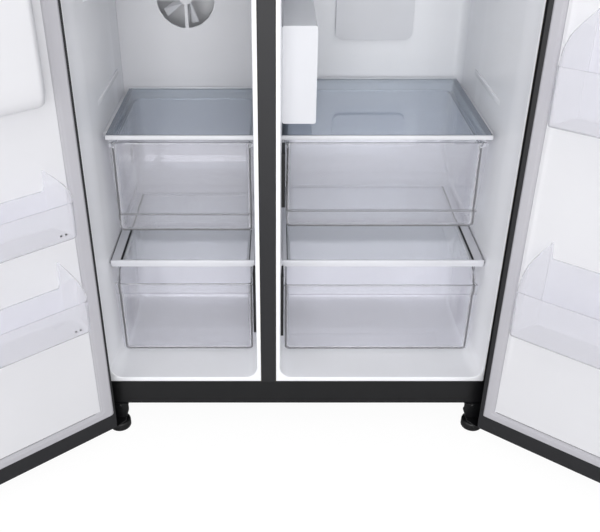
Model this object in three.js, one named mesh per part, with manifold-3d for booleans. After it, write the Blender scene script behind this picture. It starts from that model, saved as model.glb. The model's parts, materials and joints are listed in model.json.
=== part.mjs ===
// A side by side refrigerator with both doors standing open, the freezer on the left.
// Lengths are millimetres. X runs to the right, Y runs into the cabinet and Z is up. The floor is Z = 0,
// and the cabinet front is Y = 0, until the last lines move the origin under the middle of the object.
import * as THREE from 'three';
import { mergeVertices } from 'three/addons/utils/BufferGeometryUtils.js';
import Module from 'manifold-3d';

const wasm = await Module();
wasm.setup();

// Shared clearances and counts
const gap = 0.3;
const overrun = 4;
const weld = 0.0001;
const arcSteps = 4;
const roundSides = 18;

// Cabinet
const cabinet = { width: 908, depth: 606, bottom: 75, top: 1740, sheet: 1.2, sideReturn: 21, back: 1 };
const mullion = { centre: -65.5, width: 35, sheet: 2 };
const lip = { side: 3, bottom: 11, mullion: 9, top: 9, sheet: 2.5 };
const liner = {
  wall: 3, floor: 151, ceiling: 1680, back: 545, corner: 28, mouth: 25, outerFlare: 6,
  innerFlare: 3,
};
const step = { front: 335, lean: 40, rise: 154 };
const base = { sheet: 1.5, foam: 50 };
const ledge = { root: 1.5, height: 9, hold: 6.5 };

// Machine compartment at the bottom rear
const tray = { bottom: 36, sheet: 2, cheek: 14, divider: 3, dividerTop: 6 };
const rearCover = {
  sheet: 1.5, slotWidth: 92, slotHeight: 6, columns: 6, rows: 5, columnPitch: 124,
  rowPitch: 20,
};
const compressor = {
  radius: 84, height: 160, inset: 192, foot: 92, footSheet: 3, footHeight: 9,
  crownShare: 0.34,
};
const condenser = { tube: 3.2, sides: 6, inset: 336, runs: 7, pitch: 34, low: 66, high: 214, row: 40 };
const dripPan = { width: 190, length: 150, height: 30, wall: 2, draft: 6, corner: 14 };
const gland = { radius: 8, bore: 4, flange: 12, lip: 3, length: 16, inset: 62, height: 112 };

// Fans
const condenserFan = {
  inset: 420, height: 144, radius: 66, depth: 24, shaft: 3, opening: 72, boss: 15, arm: 8,
};
const evaporatorFan = { height: 905, radius: 62, depth: 24, shaft: 3, opening: 68, boss: 14, arm: 8 };
const blade = { count: 5, thickness: 2, rootTurn: 0.95, tipTurn: 0.55, hubShare: 0.26, fillShare: 0.86 };

// Evaporator and its cover in the freezer
const coldCover = {
  front: 457, wall: 3, slotWidth: 150, slotHeight: 8, slotPitch: 20, slots: 6,
  slotsAbove: 107,
};
const evaporator = {
  bottom: 352, height: 330, depth: 56, fins: 8, finSheet: 2, tube: 6, tubes: 3, margin: 26,
};

// Fresh food duct and filter housing
const duct = {
  width: 190, depth: 15, bottom: 790, height: 760, wall: 2.5, corner: 18, slots: 5,
  slotHeight: 12,
};
const filterBox = { right: 37, front: 95, bottom: 733, height: 198, wall: 2.5, corner: 5 };
const filter = { radius: 24, length: 210, neck: 12, neckLength: 18, saddle: 8 };

// Shelves: edges are measured in from the liner walls
const topShelf = {
  top: 693, front: 130, fridgeBack: 529, freezerBack: 451,
  outerInset: 17, innerInset: 3.5, side: 3, under: 12,
};
const midShelf = {
  top: 408, front: 90, fridgeBack: 500, freezerBack: 451, outerInset: 3, innerInset: 2, side: 20, under: 26,
};
const rim = { height: 12, front: 4, rear: 5, rest: 8, lid: 1.4, corner: 5 };
const glass = { thickness: 4 };
const upperShelf = { fridgeTop: 1010, freezerTop: 980, thickness: 5, corner: 10 };
const rail = { drop: 21, web: 3.5, foot: 9, footHeight: 4, inset: 8.5 };

// Drawers
const upperDrawer = {
  front: 125, top: 677, fridgeBottom: 482, freezerBottom: 471, band: 38, taper: 12, innerTaper: 3,
  outerInset: 10, innerInset: 1.5,
};
const lowerDrawer = {
  front: 95, top: 343, bottom: 155, sides: 383, band: 27, back: 330,
  outerGap: 10, innerGap: 4, outerTaper: 4, innerTaper: 10,
};
const drawerBox = {
  wall: 3, face: 4, bandStep: 5, corner: 12, lean: 6,
  rimHeight: 4, overlap: 1, sideInset: 7, clearance: 0.8,
};

// Ice maker and bin
const iceBin = {
  bottom: 1292, height: 200, front: 98, back: 440, wall: 3, inset: 6, draft: 10, corner: 20,
  chute: 84,
};
const iceMaker = {
  bottom: 1560, height: 84, nearGap: 29, farGap: 70, width: 116, cubes: 7, web: 5, pocketShare: 0.4,
  plate: 3,
};

// Doors, drawn closed. Each turns about a vertical pin near its outer edge.
const door = {
  bottom: 37, top: 1752, thickness: 56, standoff: 6, seam: 5, sheet: 1.2, lap: 6,
  hingeRadius: 24, freeRadius: 8, edge: 3,
};
const gasket = {
  hingeBorder: 10.5, width: 29, bottom: 75, top: 1735, face: 0.5, groove: 1.6,
  grooveWidth: 5, corner: 6,
};
const hinge = {
  inset: 14, setback: 28, pin: 5, reach: 20,
  freezerAngle: 140.2, fridgeAngle: 142.1,
};
const doorLiner = {
  sheet: 3.5, dykeFrom: 42, dykeWidth: 20, dykeHeight: 4, dykeBottom: 168, dykeTop: 1655,
  corner: 4,
};
const lug = { width: 22, height: 12, reach: 12 };
const bulge = { hingeBorder: 70, bottom: 838, height: 440, depth: 60, wall: 3, corner: 14, freeBorder: 66 };
const handle = {
  bottom: 560, length: 900, width: 24, thickness: 15, reach: 42, inset: 36, post: 22,
  corner: 6,
};

// Door bins, by the height of their floors
const bin = {
  reach: 86, lean: 5, wall: 3, hingeBorder: 70, freeBorder: 66, corner: 14, earWidth: 34,
  backDrop: 35, draft: 30, draftDepth: 50,
};
const fridgeBins = {
  floors: { low: 371, middle: 815, high: 1215 }, front: 109, earFront: 146, earBack: 193,
};
const freezerBins = { floors: { low: 381, middle: 596 }, front: 77, earFront: 99, earBack: 127 };

// Water and ice dispenser in the freezer door
const dispenser = {
  bottom: 884, side: 27, height: 330, depth: 96, wall: 3, flange: 12, flangeSheet: 3,
  corner: 16,
};
const spout = { radius: 18, bore: 14, drop: 40, setback: 42, chute: 44 };
const paddle = {
  width: 58, height: 104, thickness: 4, barrel: 4.5, pin: 3, ear: 5, below: 84, setback: 66,
  foot: 14,
};
const panel = { height: 76, thickness: 5, above: 6, corner: 10 };

// Lower hinge brackets, top hinges, feet and rollers
const bracket = {
  sheet: 3, left: 67, right: 8, footLeft: 57, foot: 3.5, armTop: 34.5, rear: 34, nose: 13,
  corner: 6,
};
const topHinge = { width: 62, rear: 92, height: 44, clearance: 3, nose: 15, slope: 26, corner: 8 };
const foot = { inset: 30, setback: 8, radius: 26, height: 15, edge: 3, neck: 9, stem: 4.5, stemTop: 62 };
const roller = { radius: 16, width: 14, axle: 4, inset: 56, setback: 46, ear: 3 };

const looks = {
  darkSteel: { color: 0x3f3e42, roughness: 0.38, metalness: 0.85 },
  blackSteel: { color: 0x1d1d20, roughness: 0.45, metalness: 0.6 },
  greySteel: { color: 0x8f9194, roughness: 0.5, metalness: 0.8 },
  linerPlastic: { color: 0xd5d5d9, roughness: 0.35, metalness: 0 },
  doorPlastic: { color: 0xe2e2e5, roughness: 0.35, metalness: 0 },
  whitePlastic: { color: 0xf2f3f6, roughness: 0.3, metalness: 0 },
  clearPlastic: { color: 0xd9dce2, roughness: 0.08, metalness: 0 },
  greyPlastic: { color: 0xb9bcc4, roughness: 0.3, metalness: 0 },
  blackPlastic: { color: 0x17171a, roughness: 0.4, metalness: 0 },
  foam: { color: 0xd8c48c, roughness: 0.9, metalness: 0 },
  rubber: { color: 0xbdbcc2, roughness: 0.6, metalness: 0 },
  tintedGlass: { color: 0x8e9ba6, roughness: 0.08, metalness: 0 },
  clearGlass: { color: 0xc6ced2, roughness: 0.05, metalness: 0 },
  aluminium: { color: 0xc9ccd0, roughness: 0.35, metalness: 0.9 },
  copper: { color: 0x3a3532, roughness: 0.5, metalness: 0.6 },
};

// Places that several pieces share
const half = cabinet.width / 2;
const innerHalf = half - cabinet.sheet - gap;
const freezerBay = {
  low: -half + cabinet.sideReturn + lip.side,
  high: mullion.centre - mullion.width / 2 - lip.mullion,
  lowFlare: liner.outerFlare,
  highFlare: liner.innerFlare,
  lowLip: lip.side,
  highLip: lip.mullion,
};
const fridgeBay = {
  low: mullion.centre + mullion.width / 2 + lip.mullion,
  high: half - cabinet.sideReturn - lip.side,
  lowFlare: liner.innerFlare,
  highFlare: liner.outerFlare,
  lowLip: lip.mullion,
  highLip: lip.side,
};
const stripTop = liner.floor - lip.bottom;
const foamFront = lip.sheet + gap;
const stepTop = liner.floor + step.rise;
const stepBack = step.front + step.lean;
const machineFront = step.front + base.foam;
const machineBack = stepBack + base.foam;
const machineRoof = stepTop - liner.wall - base.foam;
const slotsFrom = evaporatorFan.height + evaporatorFan.opening + coldCover.slotsAbove;
const machineRise = machineRoof - cabinet.bottom;
const leanShare = Math.hypot(step.lean, machineRise) / machineRise;
const trayTop = tray.bottom + tray.sheet;
const railStart = upperDrawer.front + drawerBox.bandStep + drawerBox.face + drawerBox.clearance;
const innerFace = -door.standoff;
const outerFace = innerFace - door.thickness;
const hingeX = half - hinge.inset;
const compressorX = -half + compressor.inset;
const condenserFanX = half - condenserFan.inset;
const glandX = half - gland.inset;
const freezerDoorFree = mullion.centre - door.seam / 2;
const fridgeDoorFree = mullion.centre + door.seam / 2;

const wallLow = (bay) => bay.low + bay.lowFlare;
const wallHigh = (bay) => bay.high - bay.highFlare;

// A closed geometry becomes a solid that can be cut and joined
function solidOf(geometry) {
  const bare = geometry.clone();
  bare.deleteAttribute('normal');
  bare.deleteAttribute('uv');
  const merged = mergeVertices(bare, weld);
  const index = merged.index.array;
  const triangles = [];
  for (let i = 0; i < index.length; i += 3) {
    const [a, b, c] = [index[i], index[i + 1], index[i + 2]];
    if (a !== b && b !== c && c !== a) {
      triangles.push(a, b, c);
    }
  }
  const vertProperties = new Float32Array(merged.attributes.position.array);
  return new wasm.Manifold(
    new wasm.Mesh({ numProp: 3, vertProperties, triVerts: new Uint32Array(triangles) }),
  );
}

function geometryOf(solid) {
  const mesh = solid.getMesh();
  const geometry = new THREE.BufferGeometry();
  geometry.setAttribute('position', new THREE.BufferAttribute(mesh.vertProperties, mesh.numProp));
  geometry.setIndex(new THREE.BufferAttribute(mesh.triVerts, 1));
  geometry.computeVertexNormals();
  return geometry;
}

const join = (...solids) => solids.reduce((whole, next) => whole.add(next));
const cut = (solid, ...tools) => tools.reduce((rest, tool) => rest.subtract(tool), solid);

// An outline through corners [a, b, radius], each rounded by an arc where its radius isn't zero
function outline(corners) {
  const points = [];
  corners.forEach(([x, y, radius], i) => {
    const here = new THREE.Vector2(x, y);
    if (!radius) {
      points.push(here);
      return;
    }
    const before = corners[(i + corners.length - 1) % corners.length];
    const after = corners[(i + 1) % corners.length];
    const toBefore = new THREE.Vector2(before[0], before[1]).sub(here);
    const toAfter = new THREE.Vector2(after[0], after[1]).sub(here);
    const room = Math.min(toBefore.length(), toAfter.length()) / 2;
    toBefore.normalize();
    toAfter.normalize();
    const halfAngle = Math.acos(toBefore.dot(toAfter)) / 2;
    const tangent = Math.min(radius / Math.tan(halfAngle), room);
    const centre = toBefore.clone().add(toAfter).normalize();
    centre.multiplyScalar(tangent / Math.cos(halfAngle)).add(here);
    const start = toBefore.multiplyScalar(tangent).add(here).sub(centre);
    const end = toAfter.multiplyScalar(tangent).add(here).sub(centre);
    const sweep = Math.atan2(start.cross(end), start.dot(end));
    for (let k = 0; k <= arcSteps; k += 1) {
      points.push(start.clone().rotateAround(new THREE.Vector2(), (sweep * k) / arcSteps).add(centre));
    }
  });
  return points;
}

const rectangle = ([a0, a1], [b0, b1], radius = 0) => (
  outline([[a0, b0, radius], [a1, b0, radius], [a1, b1, radius], [a0, b1, radius]])
);

function circle([a, b], radius, sides = roundSides) {
  const points = [];
  for (let k = 0; k < sides; k += 1) {
    const turn = (2 * Math.PI * k) / sides;
    points.push(new THREE.Vector2(a + radius * Math.cos(turn), b + radius * Math.sin(turn)));
  }
  return points;
}

// An outline pushed along one axis: (y, z) along x, (x, z) along y, (x, y) along z
function prism(axis, points, [from, to], holes = []) {
  const geometry = new THREE.ExtrudeGeometry(
    new THREE.Shape(points),
    { depth: to - from, bevelEnabled: false },
  );
  const [x, y, z] = [new THREE.Vector3(1, 0, 0), new THREE.Vector3(0, 1, 0), new THREE.Vector3(0, 0, 1)];
  if (axis === 'x') {
    geometry.applyMatrix4(new THREE.Matrix4().makeBasis(y, z, x)).translate(from, 0, 0);
  } else if (axis === 'y') {
    geometry.applyMatrix4(new THREE.Matrix4().makeBasis(x, z, y.clone().negate())).translate(0, to, 0);
  } else {
    geometry.translate(0, 0, from);
  }
  return cut(solidOf(geometry), ...holes.map((hole) => prism(axis, hole, [from - overrun, to + overrun])));
}

function box([x0, x1], [y0, y1], [z0, z1]) {
  const geometry = new THREE.BoxGeometry(x1 - x0, y1 - y0, z1 - z0);
  return solidOf(geometry.translate((x0 + x1) / 2, (y0 + y1) / 2, (z0 + z1) / 2));
}

const cylinder = (axis, centre, radius, range, sides) => prism(axis, circle(centre, radius, sides), range);

// A solid through rings of points, each going round the same way, with flat ends
function loft(rings) {
  const count = rings[0].length;
  const positions = rings.flat().flatMap((point) => [point.x, point.y, point.z]);
  const triangles = [];
  for (let r = 0; r + 1 < rings.length; r += 1) {
    for (let i = 0; i < count; i += 1) {
      const a = r * count + i;
      const b = r * count + ((i + 1) % count);
      triangles.push(a, b, b + count, a, b + count, a + count);
    }
  }
  const last = (rings.length - 1) * count;
  for (let i = 1; i + 1 < count; i += 1) {
    triangles.push(0, i + 1, i, last, last + i, last + i + 1);
  }
  const geometry = new THREE.BufferGeometry();
  geometry.setAttribute('position', new THREE.Float32BufferAttribute(positions, 3));
  geometry.setIndex(triangles);
  if (signedVolume(geometry) < 0) {
    geometry.setIndex(triangles.map((_, i) => triangles[i - (i % 3) + 2 - (i % 3)]));
  }
  return solidOf(geometry);
}

function signedVolume(geometry) {
  const corner = [0, 1, 2].map(() => new THREE.Vector3());
  let total = 0;
  for (let i = 0; i < geometry.index.count; i += 3) {
    corner.forEach(
      (point, k) => point.fromBufferAttribute(geometry.attributes.position, geometry.index.getX(i + k))
    );
    total += corner[0].dot(corner[1].cross(corner[2]));
  }
  return total;
}

// A ring for loft: a rounded rectangle laid flat at height z, or standing at depth y
const flatRing = (xs, ys, radius, z) => rectangle(xs, ys, radius).map(
  (p) => new THREE.Vector3(p.x, p.y, z)
);
const standingRing = (xs, zs, radius, y) => rectangle(xs, zs, radius).map(
  (p) => new THREE.Vector3(p.x, y, p.y)
);

const grown = ([low, high], by) => [low - by, high + by];

function piece(parent, name, solid, look) {
  const mesh = new THREE.Mesh(geometryOf(solid), new THREE.MeshStandardMaterial(look));
  mesh.name = name;
  parent.add(mesh);
  return mesh;
}

// The space inside a liner, grown outwards, from depth front to the back wall
function linerSpace(bay, growth, front) {
  const mouth = grown([bay.low, bay.high], growth);
  const walls = grown([wallLow(bay), wallHigh(bay)], growth);
  const heights = grown([liner.floor, liner.ceiling], growth);
  const radius = liner.corner + growth;
  const back = liner.back + growth;
  const whole = loft([
    standingRing(mouth, heights, radius, front),
    standingRing(mouth, heights, radius, lip.sheet),
    standingRing(walls, heights, radius, liner.mouth),
    standingRing(walls, heights, radius, back),
  ]);
  const slide = (growth * Math.hypot(step.lean, step.rise)) / step.rise;
  const under = liner.floor - growth - overrun;
  const leanPerRise = step.lean / step.rise;
  const rise = stepTop - growth;
  const risen = step.front + slide + (rise - liner.floor) * leanPerRise;
  const machineStep = [
    [step.front + slide + (under - liner.floor) * leanPerRise, under, 0],
    [back + overrun, under, 0],
    [back + overrun, rise, 0],
    [risen, rise, 0],
  ];
  return cut(whole, prism('x', outline(machineStep), grown(walls, overrun)));
}

// A ledge moulded along a liner wall: side is -1 for the low wall and 1 for the high wall
function wallLedge(bay, side, top, height, reach, [y0, y1]) {
  const wall = side < 0 ? wallLow(bay) : wallHigh(bay);
  const xs = [wall + side * ledge.root, wall - side * reach].sort((a, b) => a - b);
  return box(xs, [y0, y1], [top - height, top]);
}

const isOuter = (bay, side) => (side < 0) === (bay === freezerBay);
const shelfInset = (shelf, bay, side) => (isOuter(bay, side) ? shelf.outerInset : shelf.innerInset);
const shelfBack = (shelf, bay) => (bay === freezerBay ? shelf.freezerBack : shelf.fridgeBack);
const shelfEdges = (shelf, bay) => [
  wallLow(bay) + shelfInset(shelf, bay, -1),
  wallHigh(bay) - shelfInset(shelf, bay, 1),
];

const lowerDrawerGap = (bay, side) => (isOuter(bay, side) ? lowerDrawer.outerGap : lowerDrawer.innerGap);

// The ledges under one shelf, and beside it where the shelf stops short of the wall
function shelfLedges(shelf, bay, top, height) {
  return [-1, 1].flatMap((side) => {
    const inset = shelfInset(shelf, bay, side);
    const depth = [railStart, shelfBack(shelf, bay)];
    const under = wallLedge(bay, side, top - height - gap, ledge.height, inset + ledge.hold, depth);
    if (inset < rim.height) {
      return [under];
    }
    return [under, wallLedge(bay, side, top - rim.lid * 2, height, inset - gap * 2, depth)];
  });
}

function liningShell(bay) {
  const plate = rectangle(
    [bay.low - bay.lowLip, bay.high + bay.highLip],
    [liner.floor - lip.bottom, liner.ceiling + lip.top],
  );
  const skin = join(linerSpace(bay, liner.wall, 0), prism('y', plate, [0, lip.sheet]));
  const upperTop = bay === freezerBay ? upperShelf.freezerTop : upperShelf.fridgeTop;
  const drawerTop = lowerDrawer.sides - drawerBox.rimHeight - gap;
  const drawerDepth = [lowerDrawer.front + drawerBox.face * 2, lowerDrawer.back];
  const inside = [
    ...shelfLedges(topShelf, bay, topShelf.top, rim.height),
    ...shelfLedges(midShelf, bay, midShelf.top, rim.height),
    ...shelfLedges(topShelf, bay, upperTop, upperShelf.thickness),
    ...[-1, 1].map((side) => {
      const reach = lowerDrawerGap(bay, side) + drawerBox.sideInset - gap * 2;
      return wallLedge(bay, side, drawerTop, ledge.height, reach, drawerDepth);
    }),
  ];
  if (bay === freezerBay) {
    const depth = [iceBin.front, iceBin.back];
    const reach = iceBin.inset + iceBin.draft + iceBin.corner;
    inside.push(
      ...[-1, 1].map((side) => wallLedge(bay, side, iceBin.bottom - gap, ledge.height, reach, depth))
    );
  }
  return join(cut(skin, linerSpace(bay, 0, -overrun)), ...inside);
}

function cabinetShell() {
  const wrap = box([-half, half], [0, cabinet.depth], [cabinet.bottom, cabinet.top]);
  const inner = half - cabinet.sheet;
  const under = cabinet.bottom - overrun;
  const behind = box(
    [-inner, inner],
    [cabinet.sheet, cabinet.depth + overrun],
    [under, cabinet.top - cabinet.sheet],
  );
  const edge = half - cabinet.sideReturn + gap;
  const mouth = box(
    [-edge, edge],
    [-overrun, cabinet.sheet + overrun],
    [under, liner.ceiling + lip.top + gap],
  );
  const strip = box([-inner, inner], [-overrun, cabinet.sheet + overrun], [under, stripTop]);
  return cut(wrap, behind, mouth, strip);
}

// The folded sheet that is the strip under the liners, the case's floor and the machine space's roof
function basePanel() {
  const thick = base.sheet;
  const face = stripTop - gap;
  const rear = cabinet.depth - cabinet.back - gap;
  const lean = thick * leanShare;
  const corners = [
    [0, face, 0],
    [0, cabinet.bottom, 0],
    [machineFront, cabinet.bottom, 0],
    [machineBack, machineRoof, 0],
    [rear, machineRoof, 0],
    [rear, machineRoof + thick, 0],
    [machineBack - lean, machineRoof + thick, 0],
    [machineFront - lean, cabinet.bottom + thick, 0],
    [thick, cabinet.bottom + thick, 0],
    [thick, face, 0],
  ];
  return prism('x', outline(corners), [-innerHalf, innerHalf]);
}

function cabinetFoam() {
  const thick = base.sheet + gap;
  const rear = cabinet.depth - cabinet.back - gap;
  const lean = thick * leanShare;
  const roof = cabinet.top - cabinet.sheet - gap;
  const corners = [
    [foamFront, cabinet.bottom + thick, 0],
    [machineFront - lean, cabinet.bottom + thick, 0],
    [machineBack - lean, machineRoof + thick, 0],
    [rear, machineRoof + thick, 0],
    [rear, roof, 0],
    [foamFront, roof, 0],
  ];
  const block = prism('x', outline(corners), [-innerHalf, innerHalf]);
  const spaces = [freezerBay, fridgeBay].map((bay) => linerSpace(bay, liner.wall + gap, -overrun));
  return cut(block, ...spaces);
}

function backPanel() {
  const heights = [machineRoof + gap, cabinet.top - cabinet.sheet - gap];
  return box([-innerHalf, innerHalf], [cabinet.depth - cabinet.back, cabinet.depth], heights);
}

function mullionCover() {
  const halfWidth = mullion.width / 2 - gap;
  const xs = [mullion.centre - halfWidth, mullion.centre + halfWidth];
  const crown = mullion.sheet / 2;
  const corners = [
    [xs[0], crown, 0],
    [xs[0] + mullion.sheet, 0, 0],
    [xs[1] - mullion.sheet, 0, 0],
    [xs[1], crown, 0],
    [xs[1], mullion.sheet, 0],
    [xs[0], mullion.sheet, 0],
  ];
  return prism('z', outline(corners), [stripTop, liner.ceiling + lip.top]);
}

// A fan along z with its bore at the origin
function fanWheel(fan) {
  const hub = fan.radius * blade.hubShare;
  const blades = [];
  for (let k = 0; k < blade.count; k += 1) {
    const around = (2 * Math.PI * k) / blade.count;
    const rings = [
      [hub - blade.thickness, blade.rootTurn],
      [fan.radius, blade.tipTurn],
    ].map(([radius, turn]) => {
      const chord = Math.min(fan.depth / Math.sin(turn), (fan.radius * 2) / blade.count) * blade.fillShare;
      return [[-1, -1], [1, -1], [1, 1], [-1, 1]].map(([a, b]) => {
        const [wide, thick] = [(a * chord) / 2, (b * blade.thickness) / 2];
        const across = wide * Math.cos(turn) - thick * Math.sin(turn);
        const along = wide * Math.sin(turn) + thick * Math.cos(turn);
        return new THREE.Vector3(radius, across, along).applyAxisAngle(new THREE.Vector3(0, 0, 1), around);
      });
    });
    blades.push(loft(rings));
  }
  const depth = [-fan.depth / 2, fan.depth / 2];
  const boss = cylinder('z', [0, 0], hub, depth);
  return cut(join(boss, ...blades), cylinder('z', [0, 0], fan.shaft + gap, grown(depth, overrun)));
}

// Bars across a round opening with a motor in the middle and its shaft, in (a, b) along an axis
function fanMount(axis, fan, centre, [from, to], shaftRange, motorRange) {
  const length = fan.opening + overrun / 2;
  const lying = rectangle(
    grown([centre[0], centre[0]], length),
    grown([centre[1], centre[1]], fan.arm / 2),
  );
  const upright = rectangle(
    grown([centre[0], centre[0]], fan.arm / 2),
    grown([centre[1], centre[1]], length),
  );
  return join(
    prism(axis, lying, [from, to]),
    prism(axis, upright, [from, to]),
    cylinder(axis, centre, fan.boss, motorRange),
    cylinder(axis, centre, fan.shaft, shaftRange),
  );
}

const rollerY = cabinet.depth - roller.setback;
const machineMiddle = (machineBack + cabinet.depth) / 2;

// The tray that carries the compressor, with the fan's divider and the rollers' ears
function compressorTray() {
  const rear = cabinet.depth - rearCover.sheet - gap * 2;
  const width = innerHalf - tray.cheek;
  const seat = cabinet.bottom - gap;
  const folded = outline([
    [machineFront, seat, 0],
    [machineFront, tray.bottom, 0],
    [rear, tray.bottom, 0],
    [rear, trayTop, 0],
    [machineFront + tray.sheet, trayTop, 0],
    [machineFront + tray.sheet, seat, 0],
  ]);
  const floor = prism('x', folded, [-width, width]);
  const cheek = [machineFront, rear];
  const cheeks = [[-width, -width + tray.sheet], [width - tray.sheet, width]];
  const fanX = condenserFanX;
  const divider = [
    fanX - condenserFan.depth / 2 - tray.divider * 2,
    fanX - condenserFan.depth / 2 - tray.divider,
  ];
  const lean = step.lean / (machineRoof - cabinet.bottom);
  const head = machineRoof - tray.dividerTop;
  const front = machineFront + tray.dividerTop;
  const dividerOutline = outline([
    [front, tray.bottom, 0],
    [rear, tray.bottom, 0],
    [rear, head, 0],
    [front + (head - cabinet.bottom) * lean, head, 0],
    [front, cabinet.bottom, 0],
  ]);
  const centre = [machineMiddle, condenserFan.height];
  const wall = prism('x', dividerOutline, divider, [circle(centre, condenserFan.opening)]);
  const shaftEnd = fanX + condenserFan.depth / 2 + gap;
  const motor = [divider[0] - condenserFan.boss, divider[1]];
  const mount = fanMount('x', condenserFan, centre, divider, [divider[0], shaftEnd], motor);
  const ears = [];
  for (const side of [-1, 1]) {
    const middle = side * (half - roller.inset);
    const inside = grown([middle, middle], roller.width / 2 + gap);
    const outside = grown(inside, roller.ear);
    const ear = outline([
      [rollerY - roller.radius, tray.bottom + tray.sheet / 2, 0],
      [rollerY - roller.axle * 2, roller.radius - roller.axle * 2, roller.axle],
      [rollerY + roller.axle * 2, roller.radius - roller.axle * 2, roller.axle],
      [rollerY + roller.radius, tray.bottom + tray.sheet / 2, 0],
    ]);
    ears.push(prism('x', ear, [outside[0], inside[0]]), prism('x', ear, [inside[1], outside[1]]));
    ears.push(cylinder('x', [rollerY, roller.radius], roller.axle, outside, roundSides));
  }
  const sides = cheeks.map((range) => box(range, cheek, [tray.bottom, seat]));
  return join(floor, ...sides, wall, mount, ...ears);
}

function rearRoller(side) {
  const middle = side * (half - roller.inset);
  const range = grown([middle, middle], roller.width / 2);
  const centre = [rollerY, roller.radius];
  return prism(
    'x',
    circle(centre, roller.radius, roundSides + arcSteps),
    range,
    [circle(centre, roller.axle + gap)],
  );
}

// A solid turned about z, from a profile of [radius, height] points that starts and ends on the axis
function lathe(profile, sides = roundSides) {
  const geometry = new THREE.LatheGeometry(profile.map(([r, z]) => new THREE.Vector2(r, z)), sides);
  return solidOf(geometry.rotateX(Math.PI / 2));
}

function compressorCan() {
  const { radius, height, foot: reach, footSheet, footHeight, crownShare } = compressor;
  const crown = height * crownShare;
  const middle = footHeight + height / 2;
  const profile = [[0, footHeight]];
  for (const way of [-1, 1]) {
    for (let k = 0; k <= arcSteps; k += 1) {
      const turn = ((way < 0 ? arcSteps - k : k) * Math.PI) / 2 / arcSteps;
      const r = radius - radius * crownShare * (1 - Math.cos(turn));
      profile.push([r, middle + way * (height / 2 - crown + crown * Math.sin(turn))]);
    }
  }
  profile.push([0, footHeight + height]);
  const plate = rectangle([-reach, reach], [-reach / 2, reach / 2], footHeight);
  const legs = [];
  for (const x of [-1, 1]) {
    for (const y of [-1, 1]) {
      const centre = [x * (reach - footHeight), y * (reach / 2 - footHeight)];
      legs.push(
        cylinder('z', centre, footHeight - footSheet, [0, footHeight + footSheet / 2], roundSides / 2),
      );
    }
  }
  return join(lathe(profile), prism('z', plate, [footHeight, footHeight + footSheet]), ...legs);
}

// A round tube through points, its section carried along without twisting
function tube(points, radius, sides) {
  const direction = (i, j) => points[j].clone().sub(points[i]).normalize();
  let along = direction(0, 1);
  const sideways = new THREE.Vector3(1, 0, 0);
  const rings = points.map((point, i) => {
    const before = i === 0 ? along : direction(i - 1, i);
    const after = i + 1 === points.length ? before : direction(i, i + 1);
    const next = before.clone().add(after).normalize();
    sideways.applyQuaternion(new THREE.Quaternion().setFromUnitVectors(along, next));
    along = next;
    const across = along.clone().cross(sideways);
    return circle([0, 0], radius, sides).map((p) => (
      point.clone().addScaledVector(sideways, p.x).addScaledVector(across, p.y)
    ));
  });
  return loft(rings);
}

// One tube in two rows of upright runs, joined by half turns above and below
function condenserCoil() {
  const places = [];
  for (let run = 0; run < condenser.runs; run += 1) {
    places.push([half - condenser.inset + run * condenser.pitch, machineMiddle - condenser.row / 2]);
  }
  for (let run = condenser.runs - 1; run >= 0; run -= 1) {
    places.push([half - condenser.inset + run * condenser.pitch, machineMiddle + condenser.row / 2]);
  }
  const points = [new THREE.Vector3(...places[0], trayTop + gap)];
  places.forEach(([x, y], i) => {
    const upward = i % 2 === 0;
    const level = upward ? condenser.high : condenser.low;
    const next = places[i + 1];
    if (!next) {
      points.push(new THREE.Vector3(x, y, level));
      return;
    }
    const middle = [(x + next[0]) / 2, (y + next[1]) / 2];
    const radius = Math.hypot(next[0] - x, next[1] - y) / 2;
    for (let k = 0; k <= arcSteps; k += 1) {
      const turn = (Math.PI * k) / arcSteps;
      const share = Math.cos(turn);
      const lift = (upward ? 1 : -1) * radius * Math.sin(turn);
      points.push(new THREE.Vector3(
        middle[0] + (x - middle[0]) * share,
        middle[1] + (y - middle[1]) * share,
        level + lift,
      ));
    }
  });
  return tube(points, condenser.tube, condenser.sides);
}

// An open box with leaning walls: its outside at the floor and at the top, its wall and its plan corners
function openTub(floorX, floorY, topX, topY, [bottom, top], wall, radius) {
  const outside = loft([flatRing(floorX, floorY, radius, bottom), flatRing(topX, topY, radius, top)]);
  return cut(outside, tubSpace(floorX, floorY, topX, topY, [bottom, top], wall, radius));
}

function tubSpace(floorX, floorY, topX, topY, [bottom, top], wall, radius) {
  const inner = Math.max(radius - wall, wall);
  return loft([
    flatRing(grown(floorX, -wall), grown(floorY, -wall), inner, bottom + wall),
    flatRing(grown(topX, -wall), grown(topY, -wall), inner, top),
    flatRing(grown(topX, -wall), grown(topY, -wall), inner, top + overrun),
  ]);
}

function dripTray() {
  const bottom = trayTop + gap * 2 + compressor.footHeight + compressor.height;
  const floorX = grown([compressorX, compressorX], dripPan.width / 2 - dripPan.draft);
  const floorY = grown([machineMiddle, machineMiddle], dripPan.length / 2 - dripPan.draft);
  const [topX, topY] = [grown(floorX, dripPan.draft), grown(floorY, dripPan.draft)];
  return openTub(
    floorX,
    floorY,
    topX,
    topY,
    [bottom, bottom + dripPan.height],
    dripPan.wall,
    dripPan.corner,
  );
}

const rearCoverDepth = [cabinet.depth - rearCover.sheet, cabinet.depth];

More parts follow.
